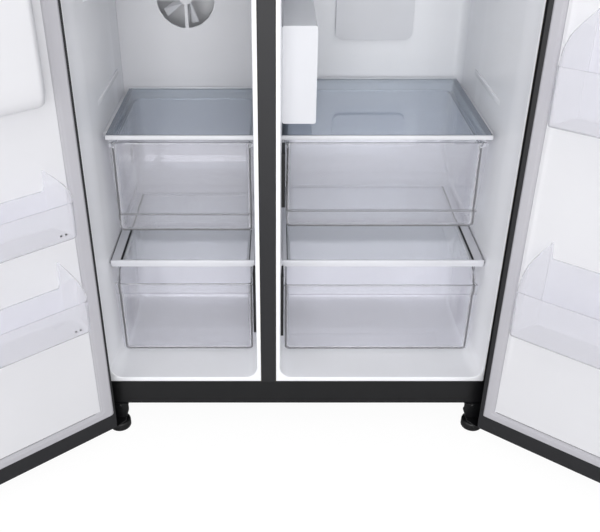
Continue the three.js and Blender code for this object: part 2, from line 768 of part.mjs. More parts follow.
function machineCover() {
  const heights = [tray.bottom, machineRoof - gap];
  const slots = [circle([glandX, gland.height], gland.radius + gap, roundSides)];
  const middle = (heights[0] + heights[1]) / 2;
  for (let row = 0; row < rearCover.rows; row += 1) {
    for (let column = 0; column < rearCover.columns; column += 1) {
      const x = (column - (rearCover.columns - 1) / 2) * rearCover.columnPitch;
      const z = middle + (row - (rearCover.rows - 1) / 2) * rearCover.rowPitch;
      slots.push(
        rectangle(grown([x, x], rearCover.slotWidth / 2), grown([z, z], rearCover.slotHeight / 2)),
      );
    }
  }
  return prism('y', rectangle([-innerHalf, innerHalf], heights), rearCoverDepth, slots);
}

function cordGland() {
  const centre = [glandX, gland.height];
  const start = cabinet.depth - gland.length + gland.lip;
  const flange = prism(
    'y',
    circle(centre, gland.flange),
    [cabinet.depth + gap, cabinet.depth + gap + gland.lip],
  );
  const body = cylinder('y', centre, gland.radius, [start, cabinet.depth + gland.lip]);
  return cut(
    join(flange, body),
    cylinder('y', centre, gland.bore, [start - overrun, cabinet.depth + overrun * 2]),
  );
}

const freezerMiddle = (wallLow(freezerBay) + wallHigh(freezerBay)) / 2;
const fridgeMiddle = (wallLow(fridgeBay) + wallHigh(fridgeBay)) / 2;
const coldCoverX = grown([wallLow(freezerBay), wallHigh(freezerBay)], -gap);
const coldFanY = coldCover.front + coldCover.wall + evaporatorFan.boss / 2 + gap + evaporatorFan.depth / 2;

// The freezer's rear wall in front of the evaporator, with its air slots and the fan's opening
function evaporatorCover() {
  const [bottom, top] = [stepTop + gap, liner.ceiling - gap];
  const depth = [coldCover.front, coldCover.front + coldCover.wall];
  const face = outline([
    [coldCoverX[0], bottom, 0],
    [coldCoverX[1], bottom, 0],
    [coldCoverX[1], top, liner.corner],
    [coldCoverX[0], top, liner.corner],
  ]);
  const centre = [freezerMiddle, evaporatorFan.height];
  const holes = [circle(centre, evaporatorFan.opening)];
  for (let k = 0; k < coldCover.slots; k += 1) {
    const z = slotsFrom + k * coldCover.slotPitch;
    const xs = grown([freezerMiddle, freezerMiddle], coldCover.slotWidth / 2);
    holes.push(rectangle(xs, [z, z + coldCover.slotHeight]));
  }
  const shaft = [depth[0], coldFanY + evaporatorFan.depth / 2 + gap];
  const mount = fanMount(
    'y',
    evaporatorFan,
    centre,
    depth,
    shaft,
    [depth[0], depth[1] + evaporatorFan.boss / 2],
  );
  const returns = [
    [coldCoverX[0], coldCoverX[0] + coldCover.wall],
    [coldCoverX[1] - coldCover.wall, coldCoverX[1]],
  ];
  const sides = returns.map(
    (range) => box(range, [depth[0], liner.back - gap], [bottom, top - liner.corner])
  );
  return join(prism('y', face, depth, holes), mount, ...sides);
}

function evaporatorCoil() {
  const xs = grown(coldCoverX, -evaporator.margin);
  const ys = [liner.back - gap - evaporator.depth, liner.back - gap];
  const pitch = (xs[1] - xs[0] - evaporator.finSheet) / (evaporator.fins - 1);
  const pieces = [];
  for (let k = 0; k < evaporator.fins; k += 1) {
    const x = xs[0] + k * pitch;
    pieces.push(
      box([x, x + evaporator.finSheet], ys, [evaporator.bottom, evaporator.bottom + evaporator.height]),
    );
  }
  for (let k = 0; k < evaporator.tubes; k += 1) {
    const z = evaporator.bottom + (evaporator.height * (k + 1)) / (evaporator.tubes + 1);
    const y = (ys[0] + ys[1]) / 2;
    pieces.push(cylinder('x', [y, z], evaporator.tube, grown(xs, evaporator.tube), condenser.sides));
  }
  return join(...pieces);
}

function airDuct() {
  const xs = grown([fridgeMiddle, fridgeMiddle], duct.width / 2);
  const zs = [duct.bottom, duct.bottom + duct.height];
  const front = liner.back - duct.depth;
  const outside = prism('y', rectangle(xs, zs, duct.corner), [front, liner.back - gap]);
  const space = rectangle(grown(xs, -duct.wall), grown(zs, -duct.wall), duct.corner - duct.wall);
  const slots = [];
  for (let k = 0; k < duct.slots; k += 1) {
    const z = zs[0] + (duct.height * (k + 1)) / (duct.slots + 1);
    const slot = rectangle(grown(xs, -duct.corner * 2), [z, z + duct.slotHeight]);
    slots.push(prism('y', slot, [front - overrun, liner.back]));
  }
  return cut(outside, prism('y', space, [front + duct.wall, liner.back + overrun]), ...slots);
}

const filterX = [wallLow(fridgeBay) + gap, filterBox.right];
const filterCentre = [
  (filterX[0] + filterX[1]) / 2,
  filterBox.bottom + filterBox.wall + filter.saddle + filter.radius,
];
const filterDepth = [
  filterBox.front + filter.neckLength * 2,
  filterBox.front + filter.neckLength * 2 + filter.length,
];

function filterHousing() {
  const zs = [filterBox.bottom, filterBox.bottom + filterBox.height];
  const back = liner.back - gap;
  const outside = prism('y', rectangle(filterX, zs, filterBox.corner), [filterBox.front, back]);
  const inner = rectangle(grown(filterX, -filterBox.wall), grown(zs, -filterBox.wall), filterBox.wall);
  const space = prism('y', inner, [filterBox.front + filterBox.wall, back + overrun]);
  const seats = [filterDepth[0], filterDepth[1]].map((y) => (
    box(
      grown([filterCentre[0], filterCentre[0]], filter.radius / 2),
      grown([y, y], filter.saddle),
      [filterBox.bottom + filterBox.wall / 2, filterCentre[1] - filter.radius / 2],
    )
  ));
  const room = cylinder('y', filterCentre, filter.radius + gap, grown(filterDepth, filter.neckLength));
  return join(cut(outside, space), ...seats.map((seat) => cut(seat, room)));
}

function waterFilter() {
  const neck = [filterDepth[1] - overrun, filterDepth[1] + filter.neckLength];
  return join(
    cylinder('y', filterCentre, filter.radius, filterDepth),
    cylinder('y', filterCentre, filter.neck, neck),
  );
}

const glassHeights = (shelf) => [shelf.top - rim.lid - glass.thickness, shelf.top - rim.lid];

// The moulded frame round a glass plate, with drawer rails hanging under it where it carries a drawer
function shelfFrame(shelf, bay) {
  const edges = shelfEdges(shelf, bay);
  const back = shelfBack(shelf, bay);
  const bottom = shelf.top - rim.height;
  const depth = [shelf.front, back];
  const under = [shelf.front + rim.front + rim.rest, back - rim.rear - rim.rest];
  const opening = rectangle(grown(edges, -shelf.under), under);
  const ring = prism('z', rectangle(edges, depth, rim.corner), [bottom, shelf.top], [opening]);
  const recess = box(
    grown(edges, -shelf.side),
    [shelf.front + rim.front, back - rim.rear],
    [glassHeights(shelf)[0] - gap, shelf.top + overrun],
  );
  if (shelf !== topShelf) {
    return cut(ring, recess);
  }
  const foot = bottom - rail.drop;
  const rails = [-1, 1].map((side) => {
    const edge = side < 0 ? edges[0] : edges[1];
    const at = (inward) => edge - side * inward;
    return prism('y', outline([
      [at(rail.inset), bottom + rim.lid, 0],
      [at(rail.inset), foot, 0],
      [at(rail.inset + rail.web + rail.foot), foot, 0],
      [at(rail.inset + rail.web + rail.foot), foot + rail.footHeight, 0],
      [at(rail.inset + rail.web), foot + rail.footHeight, 0],
      [at(rail.inset + rail.web), bottom + rim.lid, 0],
    ]), [railStart, back - rim.rear]);
  });
  return join(cut(ring, recess), ...rails);
}

function shelfGlass(shelf, bay) {
  const depth = [shelf.front + rim.front + gap, shelfBack(shelf, bay) - rim.rear - gap];
  return prism(
    'z',
    rectangle(grown(shelfEdges(shelf, bay), -shelf.side - gap), depth),
    glassHeights(shelf),
  );
}

function plainShelf(bay) {
  const top = bay === freezerBay ? upperShelf.freezerTop : upperShelf.fridgeTop;
  const depth = [topShelf.front, shelfBack(topShelf, bay)];
  return prism(
    'z',
    rectangle(shelfEdges(topShelf, bay), depth, upperShelf.corner),
    [top - upperShelf.thickness, top],
  );
}

// A clear drawer: a tub with leaning walls and a rim that rides on ledges, behind a face with a pull band
function drawer({ faceX, rimX, tubX, front, back, bottom, rimTop, faceTop, taper, bandHeights }) {
  const face = outline([
    [faceX[0], faceTop, 0],
    [faceX[0] + taper[0], bottom, drawerBox.corner],
    [faceX[1] - taper[1], bottom, drawerBox.corner],
    [faceX[1], faceTop, 0],
  ]);
  const faceFront = front + drawerBox.bandStep;
  const tubFront = faceFront + drawerBox.face;
  const tubY = [tubFront - drawerBox.overlap, back];
  const floorX = grown(tubX, -drawerBox.lean);
  const floorY = [tubY[0], back - drawerBox.lean];
  const heights = [bottom, rimTop];
  const shape = [floorX, floorY, tubX, tubY, heights, drawerBox.wall, drawerBox.corner];
  const outside = loft([
    flatRing(floorX, floorY, drawerBox.corner, bottom),
    flatRing(tubX, tubY, drawerBox.corner, rimTop),
  ]);
  const brim = prism(
    'z',
    rectangle(rimX, [tubFront, back], drawerBox.corner),
    [rimTop - drawerBox.rimHeight, rimTop],
  );
  const bandFace = prism('y', face, [front, faceFront + drawerBox.overlap]);
  const band = bandFace.intersect(
    box(grown(faceX, overrun), grown([front, faceFront], overrun), bandHeights),
  );
  const body = join(outside, brim, prism('y', face, [faceFront, tubFront]), band);
  const frontCut = box(
    grown(rimX, overrun),
    [faceFront, tubFront + drawerBox.corner],
    [faceTop, rimTop + overrun],
  );
  const hollow = tubSpace(...shape);
  return faceTop < rimTop ? cut(body, hollow, frontCut) : cut(body, hollow);
}

function upperDrawerOf(bay) {
  const edges = shelfEdges(topShelf, bay);
  const bottom = bay === freezerBay ? upperDrawer.freezerBottom : upperDrawer.fridgeBottom;
  const inward = (distance) => [edges[0] + distance, edges[1] - distance];
  const faceInset = [-1, 1].map(
    (side) => (isOuter(bay, side) ? upperDrawer.outerInset : upperDrawer.innerInset)
  );
  const footTop = topShelf.top - rim.height - rail.drop + rail.footHeight;
  return drawer({
    faceX: [edges[0] + faceInset[0], edges[1] - faceInset[1]],
    rimX: inward(rail.inset + rail.web + drawerBox.clearance),
    tubX: inward(rail.inset + rail.web + rail.foot + drawerBox.clearance),
    front: upperDrawer.front,
    back: shelfBack(topShelf, bay) - rim.front,
    bottom,
    rimTop: footTop + gap + drawerBox.rimHeight,
    faceTop: upperDrawer.top,
    taper: [-1, 1].map((side) => (isOuter(bay, side) ? upperDrawer.taper : upperDrawer.innerTaper)),
    bandHeights: [bottom, bottom + upperDrawer.band],
  });
}

function lowerDrawerOf(bay) {
  const edges = [wallLow(bay) + lowerDrawerGap(bay, -1), wallHigh(bay) - lowerDrawerGap(bay, 1)];
  return drawer({
    faceX: edges,
    rimX: edges,
    tubX: grown(edges, -drawerBox.sideInset),
    front: lowerDrawer.front,
    back: lowerDrawer.back,
    bottom: lowerDrawer.bottom,
    rimTop: lowerDrawer.sides,
    faceTop: lowerDrawer.top,
    taper: [-1, 1].map((side) => (isOuter(bay, side) ? lowerDrawer.outerTaper : lowerDrawer.innerTaper)),
    bandHeights: [lowerDrawer.top - lowerDrawer.band, lowerDrawer.top],
  });
}

function iceBucket() {
  const topX = grown([wallLow(freezerBay), wallHigh(freezerBay)], -iceBin.inset);
  const floorX = grown(topX, -iceBin.draft);
  const depth = [iceBin.front, iceBin.back];
  const floorY = [iceBin.front + iceBin.draft, iceBin.back - iceBin.draft];
  const heights = [iceBin.bottom, iceBin.bottom + iceBin.height];
  const chuteX = grown([freezerMiddle, freezerMiddle], iceBin.chute / 2);
  const chute = box(chuteX, grown([iceBin.front, floorY[0]], iceBin.draft), [
    iceBin.bottom + iceBin.wall,
    iceBin.bottom + iceBin.wall + iceBin.chute / 2,
  ]);
  return cut(openTub(floorX, floorY, topX, depth, heights, iceBin.wall, iceBin.corner), chute);
}

// The mould of the ice maker, a row of half round pockets, with its mounting plate behind
function iceMakerMould() {
  const [x0, x1] = [wallLow(freezerBay) + iceMaker.nearGap, wallHigh(freezerBay) - iceMaker.farGap];
  const back = coldCover.front - gap;
  const ys = [back - iceMaker.width, back];
  const zs = [iceMaker.bottom, iceMaker.bottom + iceMaker.height];
  const block = prism('x', rectangle(ys, zs, iceMaker.web), [x0, x1]);
  const pitch = (x1 - x0 - iceMaker.web) / iceMaker.cubes;
  const pockets = [];
  for (let k = 0; k < iceMaker.cubes; k += 1) {
    const from = x0 + iceMaker.web + k * pitch;
    const centre = [(ys[0] + ys[1]) / 2, zs[1]];
    pockets.push(
      cylinder('x', centre, iceMaker.width * iceMaker.pocketShare, [from, from + pitch - iceMaker.web]),
    );
  }
  const plate = [back - iceMaker.plate, back];
  return join(cut(block, ...pockets), box([x0, x1], plate, [zs[0], liner.ceiling - gap]));
}

// Door pieces are drawn with the door closed: side is -1 for the freezer door and 1 for the fresh food door
const hingeEdge = (side) => side * half;
const freeEdge = (side) => (side < 0 ? freezerDoorFree : fridgeDoorFree);
const ordered = (range) => [...range].sort((a, b) => a - b);
const doorSpan = (side, hingeBorder, freeBorder) => (
  ordered([hingeEdge(side) - side * hingeBorder, freeEdge(side) + side * freeBorder])
);
const doorMiddle = (side) => (hingeEdge(side) + freeEdge(side)) / 2;
const linerFace = innerFace + gap + doorLiner.sheet;
const dispenserX = grown(doorSpan(-1, bulge.hingeBorder, bulge.freeBorder), -dispenser.side);
const dispenserZ = [dispenser.bottom, dispenser.bottom + dispenser.height];
const dispenserBack = outerFace + dispenser.depth;
const chuteX = grown([doorMiddle(-1), doorMiddle(-1)], iceBin.chute / 2);
const chuteZ = [dispenserZ[1] - dispenser.wall, dispenserZ[1] + spout.chute];
const bulgeBack = innerFace + bulge.depth;
const chuteY = [outerFace + spout.setback, bulgeBack - bulge.wall - gap];
const pin = (side) => [side * hingeX, -hinge.setback];

// The plan outline of a door, drawn in from its skin by inset, with its inner face drawn in by face
function doorOutline(side, inset, face) {
  const [hinged, free] = [hingeEdge(side) - side * inset, freeEdge(side) + side * inset];
  return outline([
    [hinged, innerFace - face, Math.max(door.edge - inset, 0)],
    [free, innerFace - face, Math.max(door.edge - inset, 0)],
    [free, outerFace + inset, door.freeRadius - inset],
    [hinged, outerFace + inset, door.hingeRadius - inset],
  ]);
}

// The openings in a door: bores for its two pins and, in the freezer door, the recess and the ice chute
function doorOpenings(side) {
  const bores = [
    [door.bottom - overrun, door.bottom + hinge.reach + gap],
    [door.top - hinge.reach - gap, door.top + overrun],
  ].map((range) => cylinder('z', pin(side), hinge.pin + gap, range));
  if (side > 0) {
    return bores;
  }
  const depth = [outerFace - overrun, innerFace + overrun];
  const recess = prism(
    'y',
    rectangle(grown(dispenserX, gap), grown(dispenserZ, gap), dispenser.corner + gap),
    depth,
  );
  const chute = box(grown(chuteX, gap), [chuteY[0] - gap, depth[1]], [chuteZ[0], chuteZ[1] + gap]);
  return [...bores, recess, chute];
}

// The window that the folded edges of the steel skin leave on the inner face
const doorWindow = (side, inset) => [
  grown(doorSpan(side, gasket.hingeBorder + door.lap, gasket.hingeBorder + door.lap), -inset),
  grown([gasket.bottom + door.lap, gasket.top - door.lap], -inset),
];

function doorPanel(side) {
  const whole = prism('z', doorOutline(side, 0, 0), [door.bottom, door.top]);
  const inside = prism(
    'z',
    doorOutline(side, door.sheet, door.sheet),
    grown([door.bottom, door.top], -door.sheet),
  );
  const window = prism(
    'y',
    rectangle(...doorWindow(side, 0)),
    [innerFace - door.edge, innerFace + overrun],
  );
  return cut(whole, inside, window, ...doorOpenings(side));
}

// The inner lining with the foam behind it, side ridges and a lug under each end of each bin
function doorLining(side, bins) {
  const fill = door.sheet + gap;
  const core = prism('z', doorOutline(side, fill, fill), grown([door.bottom, door.top], -fill));
  const window = prism('y', rectangle(...doorWindow(side, gap)), [innerFace - door.edge, innerFace]);
  const inside = gasket.hingeBorder + gasket.width + gap;
  const heights = [gasket.bottom + gasket.width + gap, gasket.top - gasket.width - gap];
  const sheetY = [innerFace - door.edge, linerFace];
  const sheet = prism('y', rectangle(doorSpan(side, inside, inside), heights, doorLiner.corner), sheetY);
  const root = linerFace - doorLiner.sheet / 2;
  const dykes = [-1, 1].map((end) => {
    const edge = end < 0
      ? hingeEdge(side) - side * doorLiner.dykeFrom
      : freeEdge(side) + side * doorLiner.dykeFrom;
    const at = (inward) => edge + end * side * inward;
    const slope = doorLiner.dykeHeight / 2;
    return prism('z', outline([
      [at(0), root, 0],
      [at(slope), linerFace + doorLiner.dykeHeight, 0],
      [at(doorLiner.dykeWidth - slope), linerFace + doorLiner.dykeHeight, 0],
      [at(doorLiner.dykeWidth), root, 0],
    ]), [doorLiner.dykeBottom, doorLiner.dykeTop]);
  });
  const lugs = bins.flatMap((floor) => {
    const [x0, x1] = grown(doorSpan(side, bin.hingeBorder, bin.freeBorder), -bin.draft);
    const zs = [floor - gap - lug.height, floor - gap];
    return [[x0, x0 + lug.width], [x1 - lug.width, x1]].map(
      (xs) => box(xs, [root, linerFace + lug.reach], zs)
    );
  });
  const lining = join(core, window, sheet, ...dykes, ...lugs);
  if (side > 0) {
    return cut(lining, ...doorOpenings(side));
  }
  const xs = doorSpan(side, bulge.hingeBorder, bulge.freeBorder);
  const zs = [bulge.bottom, bulge.bottom + bulge.height];
  const slope = bulge.corner;
  const hump = loft([
    standingRing(xs, zs, bulge.corner, root),
    standingRing(xs, zs, bulge.corner, bulgeBack - slope),
    standingRing(grown(xs, -slope), grown(zs, -slope), bulge.corner, bulgeBack),
  ]);
  const thin = -bulge.wall;
  const space = loft([
    standingRing(grown(xs, thin), grown(zs, thin), bulge.corner + thin, innerFace),
    standingRing(grown(xs, thin), grown(zs, thin), bulge.corner + thin, bulgeBack - slope + thin / 2),
    standingRing(grown(xs, thin - slope), grown(zs, thin - slope), bulge.corner + thin, bulgeBack + thin),
  ]);
  const mouth = box(grown(chuteX, -dispenser.wall), grown([bulgeBack, bulgeBack], slope), [
    chuteZ[0] + dispenser.wall,
    chuteZ[1] - dispenser.wall,
  ]);
  return cut(join(lining, hump), space, mouth, ...doorOpenings(side));
}

function doorGasket(side) {
  const outer = doorSpan(side, gasket.hingeBorder, gasket.hingeBorder);
  const zs = [gasket.bottom, gasket.top];
  const inner = [grown(outer, -gasket.width), grown(zs, -gasket.width)];
  const ys = [innerFace + gap, -gasket.face];
  const ring = prism('y', rectangle(outer, zs, gasket.corner), ys, [rectangle(...inner)]);
  const inset = (by) => rectangle(grown(outer, -by), grown(zs, -by));
  const middle = gasket.width / 2;
  const groove = [ys[1] - gasket.groove, ys[1] + overrun];
  const [near, far] = [middle - gasket.grooveWidth / 2, middle + gasket.grooveWidth / 2];
  return cut(ring, prism('y', inset(near), groove, [inset(far)]));
}

function doorHandle(side) {
  const middle = freeEdge(side) + side * handle.inset;
  const seat = outerFace - gap;
  const front = seat - handle.reach;
  const inside = front + handle.thickness;
  const [z0, z1] = [handle.bottom, handle.bottom + handle.length];
  return prism('x', outline([
    [seat, z0, 0],
    [front, z0, handle.corner * 2],
    [front, z1, handle.corner * 2],
    [seat, z1, 0],
    [seat, z1 - handle.post, 0],
    [inside, z1 - handle.post, handle.corner],
    [inside, z0 + handle.post, handle.corner],
    [seat, z0 + handle.post, 0],
  ]), grown([middle, middle], handle.width / 2));
}

// A clear door bin: a low front between two ears that rise to the door liner
function doorBin(side, floor, sizes) {
  const xs = doorSpan(side, bin.hingeBorder, bin.freeBorder);
  const back = linerFace + gap;
  const front = innerFace + bin.reach;
  const profile = (wall, extra) => outline([
    [back + wall, floor + wall, 0],
    [front - bin.lean - wall, floor + wall, bin.corner - wall],
    [front - wall, floor + sizes.earFront + extra, wall ? 0 : bin.corner * 2],
    [back + wall, floor + sizes.earBack + extra, 0],
  ]);
  const plan = (wall) => prism('z', outline([
    [xs[0] + wall + bin.draft, back - overrun, 0],
    [xs[1] - wall - bin.draft, back - overrun, 0],
    [xs[1] - wall, back + bin.draftDepth, bin.corner],
    [xs[1] - wall, front - wall, bin.corner],
    [xs[0] + wall, front - wall, bin.corner],
    [xs[0] + wall, back + bin.draftDepth, bin.corner],
  ]), [floor - overrun, floor + sizes.earBack * 2]);
  const outside = prism('x', profile(0, 0), xs).intersect(plan(0));
  const inside = prism('x', profile(bin.wall, sizes.earBack / 2), grown(xs, -bin.wall)).intersect(
    plan(bin.wall),
  );
  const top = floor + sizes.earBack + overrun;
  const scoop = prism('y', outline([
    [xs[0] + bin.earWidth / 2, top, 0],
    [xs[0] + bin.earWidth, floor + sizes.front, bin.corner],
    [xs[1] - bin.earWidth, floor + sizes.front, bin.corner],
    [xs[1] - bin.earWidth / 2, top, 0],
  ]), [front - bin.earWidth, front + overrun]);
  const behind = box(
    grown(xs, -bin.draft - bin.wall),
    grown([back, back], bin.wall * 2),
    [floor + sizes.earBack - bin.backDrop, top],
  );
  return cut(outside, inside, scoop, behind);
}

// The moulded recess with its frame on the door face, the ice chute above it and the paddle's ears
const paddlePivot = [outerFace + paddle.setback, dispenserZ[1] - dispenser.wall - paddle.below];
const paddleX = grown([doorMiddle(-1), doorMiddle(-1)], paddle.width / 2);
const spoutCentre = [doorMiddle(-1), chuteY[0] + dispenser.wall + spout.radius];

function dispenserHousing() {
  const { wall, corner, flange, flangeSheet } = dispenser;
  const seat = outerFace - gap;
  const outer = rectangle(dispenserX, dispenserZ, corner);
  const frame = rectangle(grown(dispenserX, flange), grown(dispenserZ, flange), corner + flange);
  const inner = rectangle(grown(dispenserX, -wall), grown(dispenserZ, -wall), corner - wall);
  const tub = join(
    prism('y', outer, [seat - flangeSheet, dispenserBack]),
    prism('y', frame, [seat - flangeSheet, seat]),
  );
  const space = prism('y', inner, [seat - flangeSheet - overrun, dispenserBack - wall]);
  const chute = box(chuteX, chuteY, chuteZ);
  const chuteSpace = box(grown(chuteX, -wall), [chuteY[0] + wall, chuteY[1] + overrun], [
    chuteZ[0] + wall,
    chuteZ[1] - wall,
  ]);
  const nozzle = [dispenserZ[1] - wall - spout.drop, dispenserZ[1]];
  const bore = cylinder('z', spoutCentre, spout.bore, [nozzle[0] - overrun, chuteZ[0] + wall * 2]);
  const ears = [
    [paddleX[0] - gap - paddle.ear, paddleX[0] - gap],
    [paddleX[1] + gap, paddleX[1] + gap + paddle.ear],
  ].map((xs) => box(xs, [paddlePivot[0] - paddle.barrel * 2, dispenserBack - wall / 2], [
    paddlePivot[1] - paddle.barrel * 2,
    paddlePivot[1] + paddle.barrel * 2,
  ]));
  const pinHole = cylinder('x', paddlePivot, paddle.pin + gap, grown(paddleX, paddle.ear * 2));
  const hollow = cut(join(tub, chute), space, chuteSpace);
  const spoutWall = cylinder('z', spoutCentre, spout.radius, nozzle);
  return cut(join(hollow, spoutWall, ...ears), bore, pinHole);
}

function dispenserPaddle() {
  const [y, z] = paddlePivot;
  const plate = outline([
    [y - paddle.thickness / 2, z, 0],
    [y - paddle.thickness / 2, z - paddle.height + paddle.foot, 0],
    [y - paddle.foot, z - paddle.height, 0],
    [y - paddle.foot + paddle.thickness, z - paddle.height, 0],
    [y + paddle.thickness / 2, z - paddle.height + paddle.foot, 0],
    [y + paddle.thickness / 2, z, 0],
  ]);
  const pins = cylinder('x', paddlePivot, paddle.pin, grown(paddleX, gap + paddle.ear));
  return join(prism('x', plate, paddleX), cylinder('x', paddlePivot, paddle.barrel, paddleX), pins);
}

function controlPanel() {
  const bottom = dispenserZ[1] + dispenser.flange + panel.above;
  const face = rectangle(
    grown(dispenserX, dispenser.flange),
    [bottom, bottom + panel.height],
    panel.corner,
  );
  return prism('y', face, [outerFace - gap - panel.thickness, outerFace - gap]);
}

// The lower hinge: a folded bracket under the case with a nose, a pin up into the door and the foot's hole
function lowerHinge(side) {
  const outer = side * (half - bracket.right);
  const inner = side * (half - bracket.left);
  const footInner = side * (half - bracket.footLeft);
  const seat = cabinet.bottom - gap;
  const armBottom = bracket.armTop - bracket.foot;
  const flange = prism('y', outline([
    [inner, seat, 0],
    [inner, seat - bracket.nose, 0],
    [footInner, armBottom, bracket.corner],
    [outer, armBottom, 0],
    [outer, seat, 0],
  ]), [-bracket.sheet, 0]);
  const head = box(ordered([inner, outer]), [-bracket.sheet, bracket.rear], [seat - bracket.sheet, seat]);
  const cheek = box(
    ordered([outer - side * bracket.sheet, outer]),
    [-bracket.sheet, bracket.rear],
    [armBottom, seat],
  );
  const [pinX, pinY] = pin(side);
  const arm = prism('z', outline([
    [footInner, bracket.rear, bracket.corner],
    [footInner, pinY / 2, bracket.corner],
    [pinX - side * bracket.nose, pinY - bracket.nose, bracket.nose],
    [pinX + side * bracket.nose, pinY - bracket.nose, bracket.nose],
    [pinX + side * bracket.nose, pinY + bracket.nose, bracket.corner],
    [outer, bracket.rear, 0],
  ]), [armBottom, bracket.armTop]);
  const hingePin = cylinder('z', pin(side), hinge.pin, [armBottom, door.bottom + hinge.reach]);
  const hole = cylinder(
    'z',
    footCentre(side),
    foot.stem + gap,
    grown([armBottom, bracket.armTop], overrun),
  );
  return cut(join(flange, head, cheek, arm, hingePin), hole);
}

const footCentre = (side) => [side * (half - foot.inset), foot.setback];

function levellingFoot() {
  return lathe([
    [0, 0],
    [foot.radius - foot.edge, 0],
    [foot.radius, foot.edge],
    [foot.radius, foot.height - foot.edge],
    [foot.radius - foot.edge, foot.height],
    [foot.neck, foot.height],
    [foot.neck, bracket.armTop - bracket.foot - gap],
    [foot.stem, bracket.armTop - bracket.foot - gap],
    [foot.stem, foot.stemTop],
    [0, foot.stemTop],
  ], roundSides + arcSteps);
}

// A top hinge under its cover, from the case top out over the door, with its pin down into the door
function upperHinge(side) {
  const seat = cabinet.top + gap;
  const top = cabinet.top + topHinge.height;
  const over = door.top + topHinge.clearance;
  const nose = -hinge.setback - topHinge.nose;
  const profile = outline([
    [topHinge.rear, seat, 0],
    [topHinge.rear, seat + topHinge.nose, topHinge.corner],
    [topHinge.rear - topHinge.slope, top, topHinge.corner],
    [nose, top, topHinge.corner],
    [nose, over, 0],
    [0, over, 0],
    [0, seat, 0],
  ]);
  const outer = side * (half - cabinet.sheet);
  const cover = prism('x', profile, ordered([outer, outer - side * topHinge.width]));
  return join(
    cover,
    cylinder('z', pin(side), hinge.pin, [door.top - hinge.reach, over + topHinge.clearance]),
  );
}

// The assembly. Each door is a group turned about its pin, with its pieces drawn closed inside it.
const part = new THREE.Group();
const model = new THREE.Group();
part.add(model);

function doorGroup(side, open) {
  const turned = new THREE.Group();
  const [x, y] = pin(side);
  turned.position.set(x, y, 0);
  turned.rotation.z = THREE.MathUtils.degToRad(side * open);
  const closed = new THREE.Group();
  closed.position.set(-x, -y, 0);
  turned.add(closed);
  model.add(turned);
  return closed;
}

piece(model, 'cabinet_shell', cabinetShell(), looks.darkSteel);
piece(model, 'cabinet_foam', cabinetFoam(), looks.foam);
piece(model, 'freezer_liner', liningShell(freezerBay), looks.linerPlastic);
piece(model, 'fridge_liner', liningShell(fridgeBay), looks.linerPlastic);
piece(model, 'mullion_cover', mullionCover(), looks.darkSteel);
piece(model, 'base_panel', basePanel(), looks.blackSteel);
piece(model, 'back_panel', backPanel(), looks.greySteel);

piece(model, 'compressor_tray', compressorTray(), looks.greySteel);
piece(model, 'compressor', compressorCan(), looks.blackSteel)
  .position.set(compressorX, machineMiddle, trayTop + gap);
piece(model, 'condenser_coil', condenserCoil(), looks.copper);
piece(model, 'drip_pan', dripTray(), looks.blackPlastic);
piece(model, 'rear_cover', machineCover(), looks.greySteel);
piece(model, 'cord_gland', cordGland(), looks.blackPlastic);
const condenserWheel = piece(model, 'condenser_fan', fanWheel(condenserFan), looks.blackPlastic);
condenserWheel.rotation.y = Math.PI / 2;
condenserWheel.position.set(condenserFanX, machineMiddle, condenserFan.height);

piece(model, 'evaporator_cover', evaporatorCover(), looks.doorPlastic);
piece(model, 'evaporator', evaporatorCoil(), looks.aluminium);
const evaporatorWheel = piece(model, 'evaporator_fan', fanWheel(evaporatorFan), looks.whitePlastic);
evaporatorWheel.rotation.x = Math.PI / 2;
evaporatorWheel.position.set(freezerMiddle, coldFanY, evaporatorFan.height);
piece(model, 'air_duct', airDuct(), looks.whitePlastic);
piece(model, 'filter_housing', filterHousing(), looks.whitePlastic);
piece(model, 'water_filter', waterFilter(), looks.greyPlastic);
piece(model, 'ice_bin', iceBucket(), looks.clearPlastic);
piece(model, 'ice_maker', iceMakerMould(), looks.aluminium);

for (const [name, bay] of [['freezer', freezerBay], ['fridge', fridgeBay]]) {
  piece(model, `${name}_top_shelf_frame`, shelfFrame(topShelf, bay), looks.whitePlastic);
  piece(model, `${name}_top_shelf_glass`, shelfGlass(topShelf, bay), looks.tintedGlass);
  piece(model, `${name}_middle_shelf_frame`, shelfFrame(midShelf, bay), looks.whitePlastic);
  piece(model, `${name}_middle_shelf_glass`, shelfGlass(midShelf, bay), looks.clearGlass);
  piece(model, `${name}_upper_shelf`, plainShelf(bay), looks.clearGlass);
  piece(model, `${name}_upper_drawer`, upperDrawerOf(bay), looks.clearPlastic);
  piece(model, `${name}_lower_drawer`, lowerDrawerOf(bay), looks.clearPlastic);
}

for (const [name, side] of [['left', -1], ['right', 1]]) {
  piece(model, `lower_hinge_${name}`, lowerHinge(side), looks.blackSteel);
  piece(model, `upper_hinge_${name}`, upperHinge(side), looks.blackSteel);
  piece(model, `foot_${name}`, levellingFoot(), looks.blackPlastic).position.set(...footCentre(side), 0);
  piece(model, `rear_roller_${name}`, rearRoller(side), looks.blackPlastic);
}

